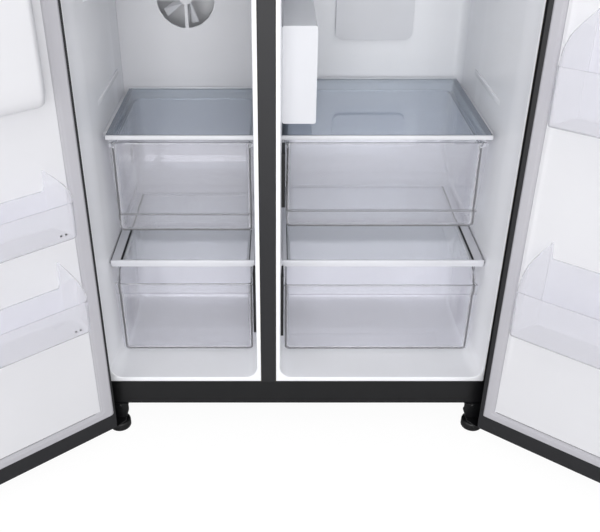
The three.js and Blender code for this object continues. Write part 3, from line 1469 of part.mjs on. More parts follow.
const doors = [
  ['freezer', -1, hinge.freezerAngle, freezerBins],
  ['fridge', 1, hinge.fridgeAngle, fridgeBins],
];
for (const [name, side, open, bins] of doors) {
  const closed = doorGroup(side, open);
  piece(closed, `${name}_door_panel`, doorPanel(side), looks.darkSteel);
  piece(closed, `${name}_door_liner`, doorLining(side, Object.values(bins.floors)), looks.doorPlastic);
  piece(closed, `${name}_door_gasket`, doorGasket(side), looks.rubber);
  piece(closed, `${name}_door_handle`, doorHandle(side), looks.darkSteel);
  for (const [level, floor] of Object.entries(bins.floors)) {
    piece(closed, `${name}_door_bin_${level}`, doorBin(side, floor, bins), looks.clearPlastic);
  }
  if (side < 0) {
    piece(closed, 'dispenser_housing', dispenserHousing(), looks.blackPlastic);
    piece(closed, 'dispenser_paddle', dispenserPaddle(), looks.greyPlastic);
    piece(closed, 'dispenser_panel', controlPanel(), looks.blackPlastic);
  }
}

// The origin goes on the floor under the middle of the object as it stands, with its doors open
model.updateMatrixWorld(true);
const bounds = new THREE.Box3().setFromObject(model, true);
const centre = bounds.getCenter(new THREE.Vector3());
model.position.set(-centre.x, -centre.y, -bounds.min.z);

export default part;
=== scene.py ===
import json
import math

import bmesh
import bpy
import numpy as np
from mathutils import Matrix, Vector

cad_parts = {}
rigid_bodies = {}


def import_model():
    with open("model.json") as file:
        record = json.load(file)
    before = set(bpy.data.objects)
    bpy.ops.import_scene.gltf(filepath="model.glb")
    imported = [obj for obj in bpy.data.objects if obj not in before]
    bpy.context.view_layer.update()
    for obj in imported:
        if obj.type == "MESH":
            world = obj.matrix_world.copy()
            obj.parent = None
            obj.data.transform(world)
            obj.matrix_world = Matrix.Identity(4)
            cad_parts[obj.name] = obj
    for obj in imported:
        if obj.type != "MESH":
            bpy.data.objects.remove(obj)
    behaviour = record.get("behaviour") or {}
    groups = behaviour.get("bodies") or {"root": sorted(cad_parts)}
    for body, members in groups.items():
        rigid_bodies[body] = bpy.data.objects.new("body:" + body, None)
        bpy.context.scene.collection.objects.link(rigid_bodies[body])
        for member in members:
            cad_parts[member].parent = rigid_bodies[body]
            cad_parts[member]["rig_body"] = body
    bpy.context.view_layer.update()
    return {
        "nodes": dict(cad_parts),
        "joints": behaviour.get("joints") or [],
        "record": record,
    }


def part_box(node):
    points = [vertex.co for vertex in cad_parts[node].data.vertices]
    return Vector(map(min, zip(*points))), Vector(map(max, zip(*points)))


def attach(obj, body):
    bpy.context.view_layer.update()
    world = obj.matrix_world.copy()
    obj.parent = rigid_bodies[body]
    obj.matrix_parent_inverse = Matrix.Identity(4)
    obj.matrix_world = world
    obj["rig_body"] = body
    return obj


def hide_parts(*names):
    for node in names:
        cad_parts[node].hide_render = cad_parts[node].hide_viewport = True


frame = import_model()
nodes = frame["nodes"]
scene = bpy.context.scene
print("frame loaded:", len(nodes), "nodes")

# lengths below are the cabinet's millimetres: x from its middle, y from its front, z from the floor
shellLow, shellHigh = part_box("cabinet_shell")
cabinetOrigin = np.array([(shellLow.x + shellHigh.x) / 2, shellLow.y, 0])


# cabinet millimetres to metres in the row frame: scale, then shift
def toRow(points):
    return np.asarray(points, float) * 0.001 + cabinetOrigin


# each door's pin and how far it stands open
doorPlaces = {}
for joint in frame["joints"]:
    if joint["name"] in ("freezer_door_hinge", "fridge_door_hinge"):
        opened = math.radians(-joint["range_deg"][0]) * joint["axis"][2]
        doorPlaces[joint["child"]] = (np.array(joint["pos_m"][:2]), opened)


# a closed door's cabinet millimetres to metres in the row frame: shift, then turn about the door's pin
def toOpenDoor(points, body):
    row = toRow(points)
    (pinX, pinY), opened = doorPlaces[body]
    c, s = math.cos(opened), math.sin(opened)
    x, y = row[..., 0] - pinX, row[..., 1] - pinY
    return np.stack([pinX + c * x - s * y, pinY + s * x + c * y, row[..., 2]], -1)


# an sRGB hex colour as linear RGBA
def linear(code):
    parts = [int(code[i:i + 2], 16) / 255 for i in (0, 2, 4)]
    return [v / 12.92 if v <= 0.04045 else ((v + 0.055) / 1.055) ** 2.4 for v in parts] + [1]


# adds one node: settings are its properties, inputs its sockets, as values or links
def add(tree, kind, inputs=None, **settings):
    made = tree.nodes.new(kind)
    for key, value in settings.items():
        setattr(made, key, value)
    for key, value in (inputs or {}).items():
        if isinstance(value, bpy.types.NodeSocket):
            tree.links.new(value, made.inputs[key])
        else:
            made.inputs[key].default_value = value
    return made


# an empty node material with its output and its object coordinates, in metres
def newMaterial(name):
    material = bpy.data.materials.new(name)
    material.use_nodes = True
    tree = material.node_tree
    tree.nodes.clear()
    out = add(tree, "ShaderNodeOutputMaterial")
    place = add(tree, "ShaderNodeTexCoord").outputs["Object"]
    return material, tree, out, place


# noise of a scale per metre
def noise(tree, place, scale, detail):
    return add(tree, "ShaderNodeTexNoise", {"Vector": place, "Scale": scale, "Detail": detail}).outputs["Fac"]


# a bump of a height in millimetres, over another one where it is given
def bump(tree, height, depthMm, **under):
    made = add(tree, "ShaderNodeBump", {"Height": height, "Distance": depthMm * 0.001, **under})
    return made.outputs["Normal"]


# an opaque finish: a colour that drifts a little, a fine grain in the bump and uneven roughness
def mouldedFinish(name, colour, roughness, grainMm, grainDepthMm, ior=1.53, coat=0, spread=0.02, stretch=(1, 1, 1),
                  metallic=0, waveMm=0, waveDepthMm=0):
    material, tree, out, place = newMaterial(name)
    place = add(tree, "ShaderNodeMapping", {"Vector": place, "Scale": stretch}).outputs["Vector"]
    drift = noise(tree, place, 9, 3)
    base = linear(colour)
    low = [c * (1 - spread) for c in base[:3]] + [1]
    high = [min(c * (1 + spread), 1) for c in base[:3]] + [1]
    mixed = add(tree, "ShaderNodeMix", {0: drift, 6: low, 7: high}, data_type="RGBA").outputs[2]
    normal = bump(tree, noise(tree, place, 1000 / grainMm, 2), grainDepthMm)
    if waveMm:
        normal = bump(tree, noise(tree, place, 1000 / waveMm, 1), waveDepthMm, Normal=normal)
    rough = add(tree, "ShaderNodeMapRange", {
        "Value": drift, "To Min": roughness * 0.9, "To Max": roughness * 1.12}).outputs["Result"]
    shader = add(tree, "ShaderNodeBsdfPrincipled", {
        "Base Color": mixed, "Roughness": rough, "Normal": normal, "Metallic": metallic, "Coat Weight": coat,
        "IOR": 1.5 if metallic else ior})
    tree.links.new(shader.outputs[0], out.inputs["Surface"])
    return material


# clear glass or plastic: it refracts to the eye and is a tinted film to lamps, so that what is inside is lit
def clearFinish(name, colour, ior, roughness, rippleMm, rippleDepthMm, shadow, clearness=1):
    material, tree, out, place = newMaterial(name)
    normal = bump(tree, noise(tree, place, 1000 / rippleMm, 1), rippleDepthMm)
    glass = add(tree, "ShaderNodeBsdfPrincipled", {
        "Base Color": linear(colour), "Roughness": roughness, "IOR": ior, "Transmission Weight": clearness,
        "Normal": normal})
    film = add(tree, "ShaderNodeBsdfTransparent", {"Color": linear(shadow)})
    shade = add(tree, "ShaderNodeLightPath").outputs["Is Shadow Ray"]
    mixed = add(tree, "ShaderNodeMixShader", {0: shade, 1: glass.outputs[0], 2: film.outputs[0]})
    tree.links.new(mixed.outputs[0], out.inputs["Surface"])
    return material


finishes = {
    # powder coat over steel: near black with a satin skin and fine orange peel
    "dark_steel": mouldedFinish("powderCoatDarkSteel", "17171B", 0.5, 1.6, 0.02),
    # black powder coat on pressed brackets: a little glossier, so that bends catch the light
    "black_steel": mouldedFinish("powderCoatBlackSteel", "07070A", 0.34, 1.2, 0.02),
    # hot dipped galvanised sheet: pale grey metal with soft spangles
    "grey_steel": mouldedFinish("galvanisedSheet", "A4A6A8", 0.42, 9, 0.02, metallic=0.8, spread=0.12),
    # vacuum formed polystyrene: pale, satin, slightly wavy; the same styrene in two colours, painted light: paler on
    # the cabinet's liner for the shade deep in the bays, darker on the door lining for the light the doors catch
    "liner": mouldedFinish("formedStyreneLiner", "EFF0F4", 0.25, 2.4, 0.012, ior=1.59, waveMm=70, waveDepthMm=0.12),
    "door_liner": mouldedFinish("formedStyreneDoor", "DBDBDF", 0.34, 2.4, 0.012, ior=1.59, waveMm=70, waveDepthMm=0.12),
    # moulded ABS: white and smooth
    "white_plastic": mouldedFinish("mouldedWhiteAbs", "DCDDE2", 0.3, 1.5, 0.01, ior=1.54),
    "grey_plastic": mouldedFinish("mouldedGreyAbs", "D9DAE0", 0.3, 1.5, 0.01, ior=1.54),
    "black_plastic": mouldedFinish("mouldedBlackPolypropylene", "0C0C0E", 0.46, 0.9, 0.03, ior=1.49),
    # polyurethane foam: open skin
    "foam": mouldedFinish("polyurethaneFoam", "D8C48C", 0.9, 1.2, 0.3),
    # soft PVC extrusion: matt with faint lines
    "gasket": mouldedFinish("extrudedVinylGasket", "B5B4BA", 0.6, 1.2, 0.02, ior=1.52),
    "bare_aluminium": mouldedFinish("rolledAluminium", "C9CCD0", 0.3, 0.8, 0.01, metallic=1, stretch=(1, 1, 12)),
    "painted_tube": mouldedFinish("enamelledTube", "26262A", 0.35, 2, 0.03, coat=0.4),
    "tinted_glass": clearFinish("temperedTintedGlass", "C6CFD8", 1.52, 0, 160, 0.02, "E9EEF2"),
    "clear_glass": clearFinish("temperedClearGlass", "F8FAFC", 1.52, 0, 160, 0.02, "FCFDFD", 0.88),
    "clear_plastic": clearFinish("mouldedClearStyrene", "F3F3F7", 1.59, 0, 60, 0.02, "FCFCFD", 0.91),
    # the same styrene where it is moulded thicker, in the door bins: milkier, so that its edges stay soft
    "bin_plastic": clearFinish("mouldedMilkyStyrene", "E7E7EB", 1.59, 0.05, 60, 0.02, "FAFAFB", 0.72),
}
# the bins' styrene is the record's clear plastic
print("materials made:", len(finishes))

slotOf = {entry["node"]: entry["material_slot"] for entry in frame["record"]["subparts"]}
for name, nodeObject in nodes.items():
    nodeObject.data.materials.clear()
    nodeObject.data.materials.append(finishes[slotOf[name]])


# quads between the points of a grid
def gridQuads(rows, columns, wrapRows=False, wrapColumns=False):
    r = np.arange(rows if wrapRows else rows - 1)[:, None]
    c = np.arange(columns if wrapColumns else columns - 1)[None, :]
    nextRow, nextColumn = (r + 1) % rows, (c + 1) % columns
    corners = [r * columns + c, r * columns + nextColumn, nextRow * columns + nextColumn, nextRow * columns + c]
    return np.stack(np.broadcast_arrays(*corners), -1).reshape(-1, 4).tolist()


# points and faces through closed rings (row, point, xyz); the first and the last are each one flat face
def shell(rings):
    rows, count = rings.shape[:2]
    here = np.arange(count)
    faces = gridQuads(rows, count, wrapColumns=True)
    faces += [here[::-1].tolist(), ((rows - 1) * count + here).tolist()]
    return rings.reshape(-1, 3), faces


# points and faces through closed rings that also join last to first
def loop(rings):
    return rings.reshape(-1, 3), gridQuads(*rings.shape[:2], True, True)


# an outline whose corners (x, y, radius) are arcs: centre at radius / sin(half the corner's angle) along its bisector
def filleted(corners, steps=5, splits=0, closed=True):
    count = len(corners)
    places = np.array([corner[:2] for corner in corners], float)
    arcs = []
    for i, (here, radius) in enumerate(zip(places, [corner[2] for corner in corners])):
        before, after = places[i - 1] - here, places[(i + 1) % count] - here
        room = min(np.hypot(*before), np.hypot(*after))
        before, after = before / np.hypot(*before), after / np.hypot(*after)
        half = math.acos(float(np.clip(before @ after, -1, 1))) / 2
        if not closed and i in (0, count - 1):
            arcs.append(here[None])
        elif half > 1.55:
            arcs.append(here + after * np.linspace(-0.01, 0.01, steps + 1)[:, None])
        else:
            reach = min(radius / math.tan(half), room * 0.49)
            bisector = (before + after) / np.hypot(*(before + after))
            centre = here + bisector * reach / math.cos(half)
            start, end = here + before * reach - centre, here + after * reach - centre
            sweep = math.atan2(start[0] * end[1] - start[1] * end[0], start @ end)
            angle = np.linspace(0, sweep, steps + 1)[:, None]
            arcs.append(centre + start * np.cos(angle) + np.array([-start[1], start[0]]) * np.sin(angle))
    # splits adds points along each straight side
    share = (np.arange(1, splits + 1) / (splits + 1))[:, None]
    out = []
    for i, arc in enumerate(arcs):
        out.append(arc)
        if splits and (closed or i < count - 1):
            out.append(arc[-1] + (arcs[(i + 1) % count][0] - arc[-1]) * share)
    return np.concatenate(out)


# rounded rectangles, one per ring: each corner point is its arc's centre plus radius times (cos, sin);
# sizes may be arrays, one value per ring, and edge adds points along the straight sides
def roundedRings(x0, x1, y0, y1, radius, height, arc=6, edge=1):
    x0, x1, y0, y1, radius, height = np.broadcast_arrays(*[np.atleast_1d(np.asarray(v, float)) for v in (
        x0, x1, y0, y1, radius, height)])
    turn = np.linspace(0, math.pi / 2, arc + 1)
    columns = []
    centres = [(x1 - radius, y1 - radius), (x0 + radius, y1 - radius), (x0 + radius, y0 + radius),
               (x1 - radius, y0 + radius)]
    for k, (cx, cy) in enumerate(centres):
        angle = turn + k * math.pi / 2
        columns.append(np.stack([cx[:, None] + radius[:, None] * np.cos(angle),
                                 cy[:, None] + radius[:, None] * np.sin(angle)], -1))
    sides = []
    for k in range(4):
        start, end = columns[k][:, -1:], columns[(k + 1) % 4][:, :1]
        share = (np.arange(1, edge + 1) / (edge + 1))[None, :, None]
        sides += [columns[k], start + (end - start) * share]
    flat = np.concatenate(sides, 1)
    tall = np.broadcast_to(height[:, None, None], flat.shape[:2] + (1,))
    return np.concatenate([flat, tall], -1)


# a bar with rounded edges: rounded rectangles along one axis, drawn in at both ends by a quarter circle,
# inset = radius * (1 - sin t) and height = radius * (1 - cos t)
def softBar(xs, ys, zs, radius, along="y", arc=3):
    order = {"x": (ys, zs, xs), "y": (xs, zs, ys), "z": (xs, ys, zs)}[along]
    (a0, a1), (b0, b1), (c0, c1) = order
    t = np.linspace(0, math.pi / 2, arc + 1)
    inset = radius * (1 - np.sin(t))
    rise = radius * (1 - np.cos(t))
    # one more ring lies in each end face, so that the face itself stays flat to the light
    within = [min(radius * 2, 0.45 * min(a1 - a0, b1 - b0))]
    insets = np.concatenate([within, inset, inset[::-1], within])
    heights = np.concatenate([[c0], c0 + rise, (c1 - rise)[::-1], [c1]])
    rings = roundedRings(a0 + insets, a1 - insets, b0 + insets, b1 - insets, np.maximum(radius - insets, radius * 0.05),
                         heights, arc, 0)
    return shell(rings[..., {"x": [2, 0, 1], "y": [0, 2, 1], "z": [0, 1, 2]}[along]])


# a profile of (radius, height) turned about the upright line through centre: (r cos t, r sin t, h)
def lathed(profile, centre, sides=48):
    radius, height = np.array(profile, float).T
    turn = np.linspace(0, 2 * math.pi, sides, endpoint=False)
    x = centre[0] + radius[:, None] * np.cos(turn)
    y = centre[1] + radius[:, None] * np.sin(turn)
    return shell(np.stack([x, y, np.broadcast_to(height[:, None], x.shape)], -1))


# a new object in the scene
def placed(name, data):
    made = bpy.data.objects.new(name, data)
    scene.collection.objects.link(made)
    return made


# one mesh from several closed surfaces, smooth but for edges sharper than sharpDegrees, riding on a body; a door's
# points turn open with it; a surface may carry the number of its finish, 0 for the first and then the extra ones
def makePiece(name, parts, finish, body, replaces=(), sharpDegrees=38, extra=()):
    points, faces, indices, start = [], [], [], 0
    for partPoints, partFaces, *mark in parts:
        points.append(toOpenDoor(partPoints, body) if body in doorPlaces else toRow(partPoints))
        faces += [[i + start for i in face] for face in partFaces]
        indices += (mark or [0]) * len(partFaces)
        start += len(partPoints)
    data = bpy.data.meshes.new(name)
    data.from_pydata(np.concatenate(points).tolist(), [], faces)
    for entry in (finish, *extra):
        data.materials.append(finishes[entry])
    data.polygons.foreach_set("material_index", np.array(indices, np.int32))
    turned = bmesh.new()
    turned.from_mesh(data)
    bmesh.ops.remove_doubles(turned, verts=turned.verts, dist=1e-7)
    bmesh.ops.recalc_face_normals(turned, faces=turned.faces)
    turned.to_mesh(data)
    turned.free()
    data.shade_smooth()
    data.set_sharp_from_angle(angle=math.radians(sharpDegrees))
    piece = placed(name, data)
    if replaces:
        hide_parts(*replaces)
        rebuilt.update(replaces)
    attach(piece, body)
    return piece


# a copy of a CAD node with merged flat faces and rounded edges
def finishedCopy(node, bevelMm=0.8, segments=2, sharpDegrees=35):
    source = nodes[node]
    piece = source.copy()
    piece.data = source.data.copy()
    piece.name = node + "Finished"
    scene.collection.objects.link(piece)
    piece.parent = None
    for key in list(piece.keys()):
        del piece[key]
    mesh = bmesh.new()
    mesh.from_mesh(piece.data)
    bmesh.ops.remove_doubles(mesh, verts=mesh.verts, dist=1e-6)
    bmesh.ops.dissolve_limit(mesh, angle_limit=math.radians(1), verts=mesh.verts, edges=mesh.edges)
    mesh.to_mesh(piece.data)
    mesh.free()
    piece.data.shade_smooth()
    piece.data.set_sharp_from_angle(angle=math.radians(sharpDegrees))
    if bevelMm:
        bevel = piece.modifiers.new("roundedEdges", "BEVEL")
        bevel.width = bevelMm * 0.001
        bevel.segments = segments
        bevel.limit_method = "ANGLE"
        bevel.angle_limit = math.radians(sharpDegrees)
        bevel.harden_normals = True
    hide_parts(node)
    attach(piece, source["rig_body"])
    return piece


# a smooth step from 0 to 1: 3 t squared minus 2 t cubed
def ease(value):
    t = np.clip(value, 0, 1)
    return t * t * (3 - 2 * t)


rebuilt = set()

# the two liners: mouth edges, wall flares, flange widths and the cabinet's outer side
bays = {
    "freezer": {"low": -430, "high": -92, "lowFlare": 6, "highFlare": 3, "lowLip": 3, "highLip": 9,
                "outer": -1, "back": 451, "midBack": 451, "upperTop": 980},
    "fridge": {"low": -39, "high": 430, "lowFlare": 3, "highFlare": 6, "lowLip": 9, "highLip": 3,
               "outer": 1, "back": 529, "midBack": 500, "upperTop": 1010},
}
linerShape = {"floor": 151, "ceiling": 1680, "back": 545, "corner": 28, "mouth": 88, "bottomLip": 11,
              "topLip": 9, "stepFront": 335, "stepBack": 375, "stepTop": 305, "stepFillet": 22,
              "stepCrown": 11, "backFillet": 24, "lipEdge": 2.2, "skin": 2.4, "flat": 2.5, "ledgeStart": 134.8}

# ledges that carry shelves, drawers and the ice bin: heights of their tops, and how they grow out of the wall
ledgeShape = {"upper": 680.7, "middle": 395.7, "lower": 378.7, "rib": 758, "iceBin": 1291.7, "thick": 9,
              "lead": 44, "run": 40, "sunk": 1.5, "sheet": 2}

# the floor's height over the depth: level, a steep slope and level again, with an arc at each bend
floorProfile = filleted([(-50, linerShape["floor"], 0), (linerShape["stepFront"], linerShape["floor"],
                        linerShape["stepFillet"]), (linerShape["stepBack"], linerShape["stepTop"],
                        linerShape["stepCrown"]), (700, linerShape["stepTop"], 0)], 10, 0, False)


# rings from the mouth to the back wall: the side walls follow mouth + flare * ease(y / mouth depth), and near the
# back every side is drawn in by a quarter circle, inset = fillet * (1 - cos t) and depth = fillet * sin t
def linerSkin(bay, growth):
    s = linerShape
    fillet = s["backFillet"]
    t = np.linspace(0, math.pi / 2, 9)
    bends = floorProfile[(floorProfile[:, 0] > 0) & (floorProfile[:, 0] < 690), 0]
    straight = np.unique(np.concatenate([np.linspace(2.2, s["mouth"], 12), [140, 230, 300, 420, 480], bends,
                                         np.linspace(bends.min(), bends.max(), 12)]))
    y = np.concatenate([straight, s["back"] - fillet + fillet * np.sin(t)])
    inset = np.concatenate([np.zeros(len(straight)), fillet * (1 - np.cos(t))])
    flare = ease(y / s["mouth"])
    low = bay["low"] + bay["lowFlare"] * flare + inset - growth
    high = bay["high"] - bay["highFlare"] * flare - inset + growth
    floor = np.interp(y, floorProfile[:, 0], floorProfile[:, 1])
    radius = np.maximum(s["corner"] - inset * 0.7, 9) + growth
    depth = y + growth * (y > s["back"] - 1)
    return roundedRings(low, high, floor + inset - growth, s["ceiling"] - inset + growth, radius, depth, 10, 1)


def linerPiece(name):
    bay, s = bays[name], linerShape
    inner = linerSkin(bay, 0)
    outer = linerSkin(bay, s["skin"])
    edge = s["lipEdge"]
    # the mouth rolls out onto the flange: out = edge * (1 - cos t), depth = edge * (1 - sin t)
    roll = np.linspace(0, math.pi / 2, 5)
    out = edge * (1 - np.cos(roll))
    rollRings = roundedRings(bay["low"] - out, bay["high"] + out, s["floor"] - out, s["ceiling"] + out,
                             s["corner"] + out, edge * (1 - np.sin(roll)), 10, 1)
    rows = []
    for wide, depth in ((0.86, 0), (0.96, 0.25), (1, 0.8), (1, s["flat"])):
        rows.append(roundedRings(bay["low"] - bay["lowLip"] * wide, bay["high"] + bay["highLip"] * wide,
                                 s["floor"] - s["bottomLip"] * wide, s["ceiling"] + s["topLip"] * wide, 2, depth,
                                 10, 1))
    rings = np.concatenate([inner[::-1], rollRings, *rows, outer])[:, :, [0, 2, 1]]
    parts = [shell(rings)]
    walls = {-1: bay["low"] + bay["lowFlare"], 1: bay["high"] - bay["highFlare"]}

    # a ledge along a wall grows out of it: its reach follows reach * ease((y - start) / run)
    def ledge(side, top, height, reach, y0, y1, radius=3):
        k = ledgeShape
        along = np.concatenate([y0 + k["lead"] * np.linspace(0, 1, 10), [y1 - radius, y1]])
        atEnd = 1 * (along == y1)
        out = reach * ease((along - y0) / k["run"]) - k["sunk"] * (along < y0 + 1) - atEnd
        sheet = walls[side] + side * k["sheet"]
        low = np.full(len(along), sheet) if side < 0 else walls[side] - out
        high = np.full(len(along), sheet) if side > 0 else walls[side] + out
        rings = roundedRings(low, high, top - height + atEnd, top - atEnd, np.minimum(radius, (high - low) * 0.4),
                             along, 4, 1)
        parts.append(shell(rings[..., [0, 2, 1]]))

    # a thin black strip: painted shade, a dark bar set in the gap beside a drawer or a shelf where shadow falls
    def paintedShadeStrip(xs, ys, zs):
        parts.append((*softBar(xs, ys, zs, 0.8, "z", 1), 1))

    # a wedge of the same black painted shade, from a wide top (y, y, z) to a narrow foot
    def paintedShadeWedge(x, topEnd, foot):
        x0, x1 = x - 6, x + 2.4
        rings = [[(x0, y0, z), (x1, y0, z), (x1, y1, z), (x0, y1, z)] for y0, y1, z in (topEnd, foot)]
        parts.append((*shell(np.array(rings, float)), 1))

    start, thick, back, midBack = s["ledgeStart"], ledgeShape["thick"], bay["back"], bay["midBack"]
    for side in (-1, 1):
        isOuter = side == bay["outer"]
        topInset, midInset = (13, 3) if isOuter else (0, 2)
        ledge(side, ledgeShape["upper"], thick, topInset + (7 if isOuter else 5), start + 40 * isOuter, back)
        ledge(side, ledgeShape["middle"], thick, midInset + 6.5, start, midBack)
        ledge(side, bay["upperTop"] - 5.3, thick, topInset + 9, start, back)
        ledge(side, ledgeShape["lower"], 7, 10 if isOuter else 6, 150, 330)
        if isOuter:
            ledge(side, bay["upperTop"] - 2.8, 5, topInset - 0.6, start, back, 2)
            ledge(side, ledgeShape["rib"], 12, 3.4, 160, 395, 3.2)
            # painted shade: a black strip in the dark gap between the middle shelf's frame and the wall
            paintedShadeStrip(sorted(walls[side] - side * d for d in (0.4, 3.2)), (97, midBack - 4), (399.5, 403.5))
        if name == "freezer":
            ledge(side, ledgeShape["iceBin"], thick, 36, 98, 440)
    # painted shade: black strips in the dark gaps beside the drawers, and black wedges for the shadows on the freezer's
    # outer wall
    if name == "fridge":
        paintedShadeStrip((-39, -29), (58, 122), (560, 682))
        paintedShadeStrip((-39, -31), (46, 92), (236, 398))
    else:
        paintedShadeStrip((-100, -94), (60, 93), (236, 398))
        paintedShadeWedge(-418, (434, 456, 541), (428, 431, 505))
        paintedShadeWedge(-418, (292, 326, 392), (288, 296, 300))
    makePiece(name + "LinerFormed", parts, "liner", "cabinet", [name + "_liner"], extra=("black_plastic",))


linerPiece("freezer")
linerPiece("fridge")
print("liners formed")


# the drawers, each one clear moulding: edges of face, rim and tub, depths, heights and the pull band
drawerShapes = {
    "fridge_upper_drawer": {"face": (-28.4, 404), "taper": (3, 8), "rim": (-27, 396), "tub": (-24.5, 391.5),
                            "front": 125, "back": 505, "bottom": 480, "rimTop": 668.3, "faceTop": 677,
                            "band": (476, 518.2), "lean": -2, "bulge": 72},
    "freezer_upper_drawer": {"face": (-405, -96.5), "taper": (8, 3), "rim": (-401, -101),
                             "tub": (-398, -103), "front": 125, "back": 441, "bottom": 469.5, "rimTop": 668.3,
                             "faceTop": 677, "band": (465, 509), "lean": -1, "bulge": 64},
    "fridge_lower_drawer": {"face": (-30.4, 417), "taper": (3, 4), "rim": (-29.4, 412), "tub": (-27, 410),
                            "front": 95, "back": 330, "bottom": 158.5, "rimTop": 383, "faceTop": 343,
                            "band": (316, 350), "lean": 1, "bulge": 14},
    "freezer_lower_drawer": {"face": (-418, -100.6), "taper": (3, 3.6), "rim": (-414, -101.5),
                             "tub": (-411.5, -104), "front": 95, "back": 330, "bottom": 159.5, "rimTop": 383,
                             "faceTop": 346.5, "band": (319, 352), "lean": 1, "bulge": 14},
}
drawerWalls = {"wall": 2.6, "face": 4, "step": 5, "fillet": 8, "corner": 20, "jog": 2.2,
               "brim": ((4.4, 0), (4, 0.7), (3.6, 1), (0.8, 1)), "earFrom": 6, "earRun": 22,
               "frontCorner": (13, 14, 24), "arc": 5, "splits": 7}


# One closed skin per drawer, as rings going up the outside, over the rim and down the inside. Every outer ring is a
# T: the wide face in front, the tub behind it. Its front line is y = front + step * (1 - band(z)), so the pull band
# stands proud by one step; the back wall meets the floor in a wide quarter circle, b * (1 - sqrt(1 - (1 - h / b)^2))
# at height h; the side walls lean in by lean * (1 - share of the height); and the rim follows
# height(y) = faceTop + (rimTop - faceTop) * ease((y - face) / earRun).
def drawerSkin(s):
    w = drawerWalls
    z0, faceTop, rimTop = s["bottom"], s["faceTop"], s["rimTop"]
    tall = faceTop - z0
    brimOut = min(s["tub"][0] - s["rim"][0], s["rim"][1] - s["tub"][1]) - 0.4
    faceBack = s["front"] + w["step"] + w["face"]

    def frontOf(z):
        lower, upper = s["band"]
        proud = ease((z - lower) / w["jog"] + 0.5) * ease((upper - z) / w["jog"] + 0.5)
        return s["front"] + w["step"] * (1 - proud)

    def rimHeight(y):
        return faceTop + (rimTop - faceTop) * ease((y - faceBack - w["earFrom"]) / w["earRun"]) - z0

    def bulge(rise):
        b = s["bulge"]
        return b * (1 - math.sqrt(1 - (1 - min(rise / b, 1)) ** 2))

    # outer ring at height z above the bottom, drawn in by inset, with the brim's growth
    def outerRing(rise, inset, brim):
        share = min(rise / tall, 1)
        lean = s["lean"] * (1 - share)
        front = frontOf(z0 + min(rise, tall - 3))
        x0 = s["face"][0] + s["taper"][0] * (1 - share) + min(inset, 7)
        x1 = s["face"][1] - s["taper"][1] * (1 - share) - min(inset, 7)
        t0, t1 = s["tub"][0] + lean + inset - brim, s["tub"][1] - lean - inset + brim
        t0, t1 = max(t0, x0 + 0.6), min(t1, x1 - 0.6)
        thin = min(inset, 1.5)
        far = s["back"] - bulge(rise) - lean - inset + min(brim, 1)
        corner = max(w["corner"] - inset, 5)
        return filleted([(x0, front + thin, 1.5), (x1, front + thin, 1.5), (x1, front + w["face"] - thin, 1.2),
                         (t1, front + w["face"] - thin, 1.2), (t1, far, corner), (t0, far, corner),
                         (t0, front + w["face"] - thin, 1.2), (x0, front + w["face"] - thin, 1.2)],
                        w["arc"], w["splits"])

    def innerRing(rise, inset):
        share = min(rise / tall, 1)
        lean = s["lean"] * (1 - share)
        near = frontOf(z0 + min(rise, tall - 3)) + w["face"] + inset
        t0, t1 = s["tub"][0] + lean + w["wall"] + inset, s["tub"][1] - lean - w["wall"] - inset
        far = s["back"] - bulge(rise) - lean - w["wall"] - inset
        corner = max(w["corner"] - w["wall"] - inset, 4)
        radius, first, second = w["frontCorner"]
        return filleted([(t0, near, radius), (t1, near, radius), (t1, near + first, 1), (t1, near + second, 1),
                         (t1, far, corner), (t0, far, corner), (t0, near + second, 1), (t0, near + first, 1)],
                        w["arc"], w["splits"])

    rings = []

    def lay(outline, rise, share):
        height = z0 + rise * (1 - share) + share * rimHeight(outline[:, 1]) * (rise / tall)
        rings.append(np.column_stack([outline, height]))

    fillet, wall = w["fillet"], w["wall"]
    turn = np.linspace(0, math.pi / 2, 7)
    jogs = [edge - z0 + d for edge in s["band"] for d in (-1.6, -1, -0.5, 0, 0.5, 1, 1.6)]
    levels = sorted([*np.linspace(fillet, tall - 6, 14), *jogs, *np.linspace(fillet, s["bulge"], 9)])
    levels = [v for v in levels if fillet < v < tall - 5]
    lay(outerRing(0, fillet + 4, 0), 0, 0)
    for a in turn:
        lay(outerRing(fillet * (1 - math.cos(a)), fillet * (1 - math.sin(a)), 0), fillet * (1 - math.cos(a)), 0)
    for level in levels:
        lay(outerRing(level, 0, 0), level, level / tall)
    for below, share in w["brim"]:
        lay(outerRing(tall - below, 0, brimOut * share), tall - below, (tall - below) / tall)
    lay(outerRing(tall, 0.5, brimOut - 0.6), tall, 1)
    lay(innerRing(tall, 0), tall, 1)
    lay(innerRing(tall - 0.6, 0.4), tall - 0.6, 1)
    for level in levels[::-1]:
        lay(innerRing(level, 0.4), level, level / tall)
    for a in turn[::-1]:
        rise = wall + (fillet - wall) * (1 - math.cos(a))
        lay(innerRing(rise, 0.4 + (fillet - wall) * (1 - math.sin(a))), rise, 0)
    lay(innerRing(wall, fillet + 4), wall, 0)
    return shell(np.array(rings))


for drawerName, shape in drawerShapes.items():
    makePiece(drawerName + "Moulded", [drawerSkin(shape)], "clear_plastic", drawerName, [drawerName], sharpDegrees=50)
print("drawers moulded")


# the shelves over the lower drawers: a white frame, wide along the cabinet's outer wall, round a clear pane
midShelves = {
    "freezer": {"edges": (-421, -97), "bars": (20.2, 10), "back": 451},
    "fridge": {"edges": (-34, 421), "bars": (10, 20), "back": 500},
}
midShelf = {"top": 408, "front": 90, "rim": 12, "frontBar": 4, "backBar": 5, "rest": 8,
            "pane": 4, "lid": 1.4, "seal": (4.8, 2)}

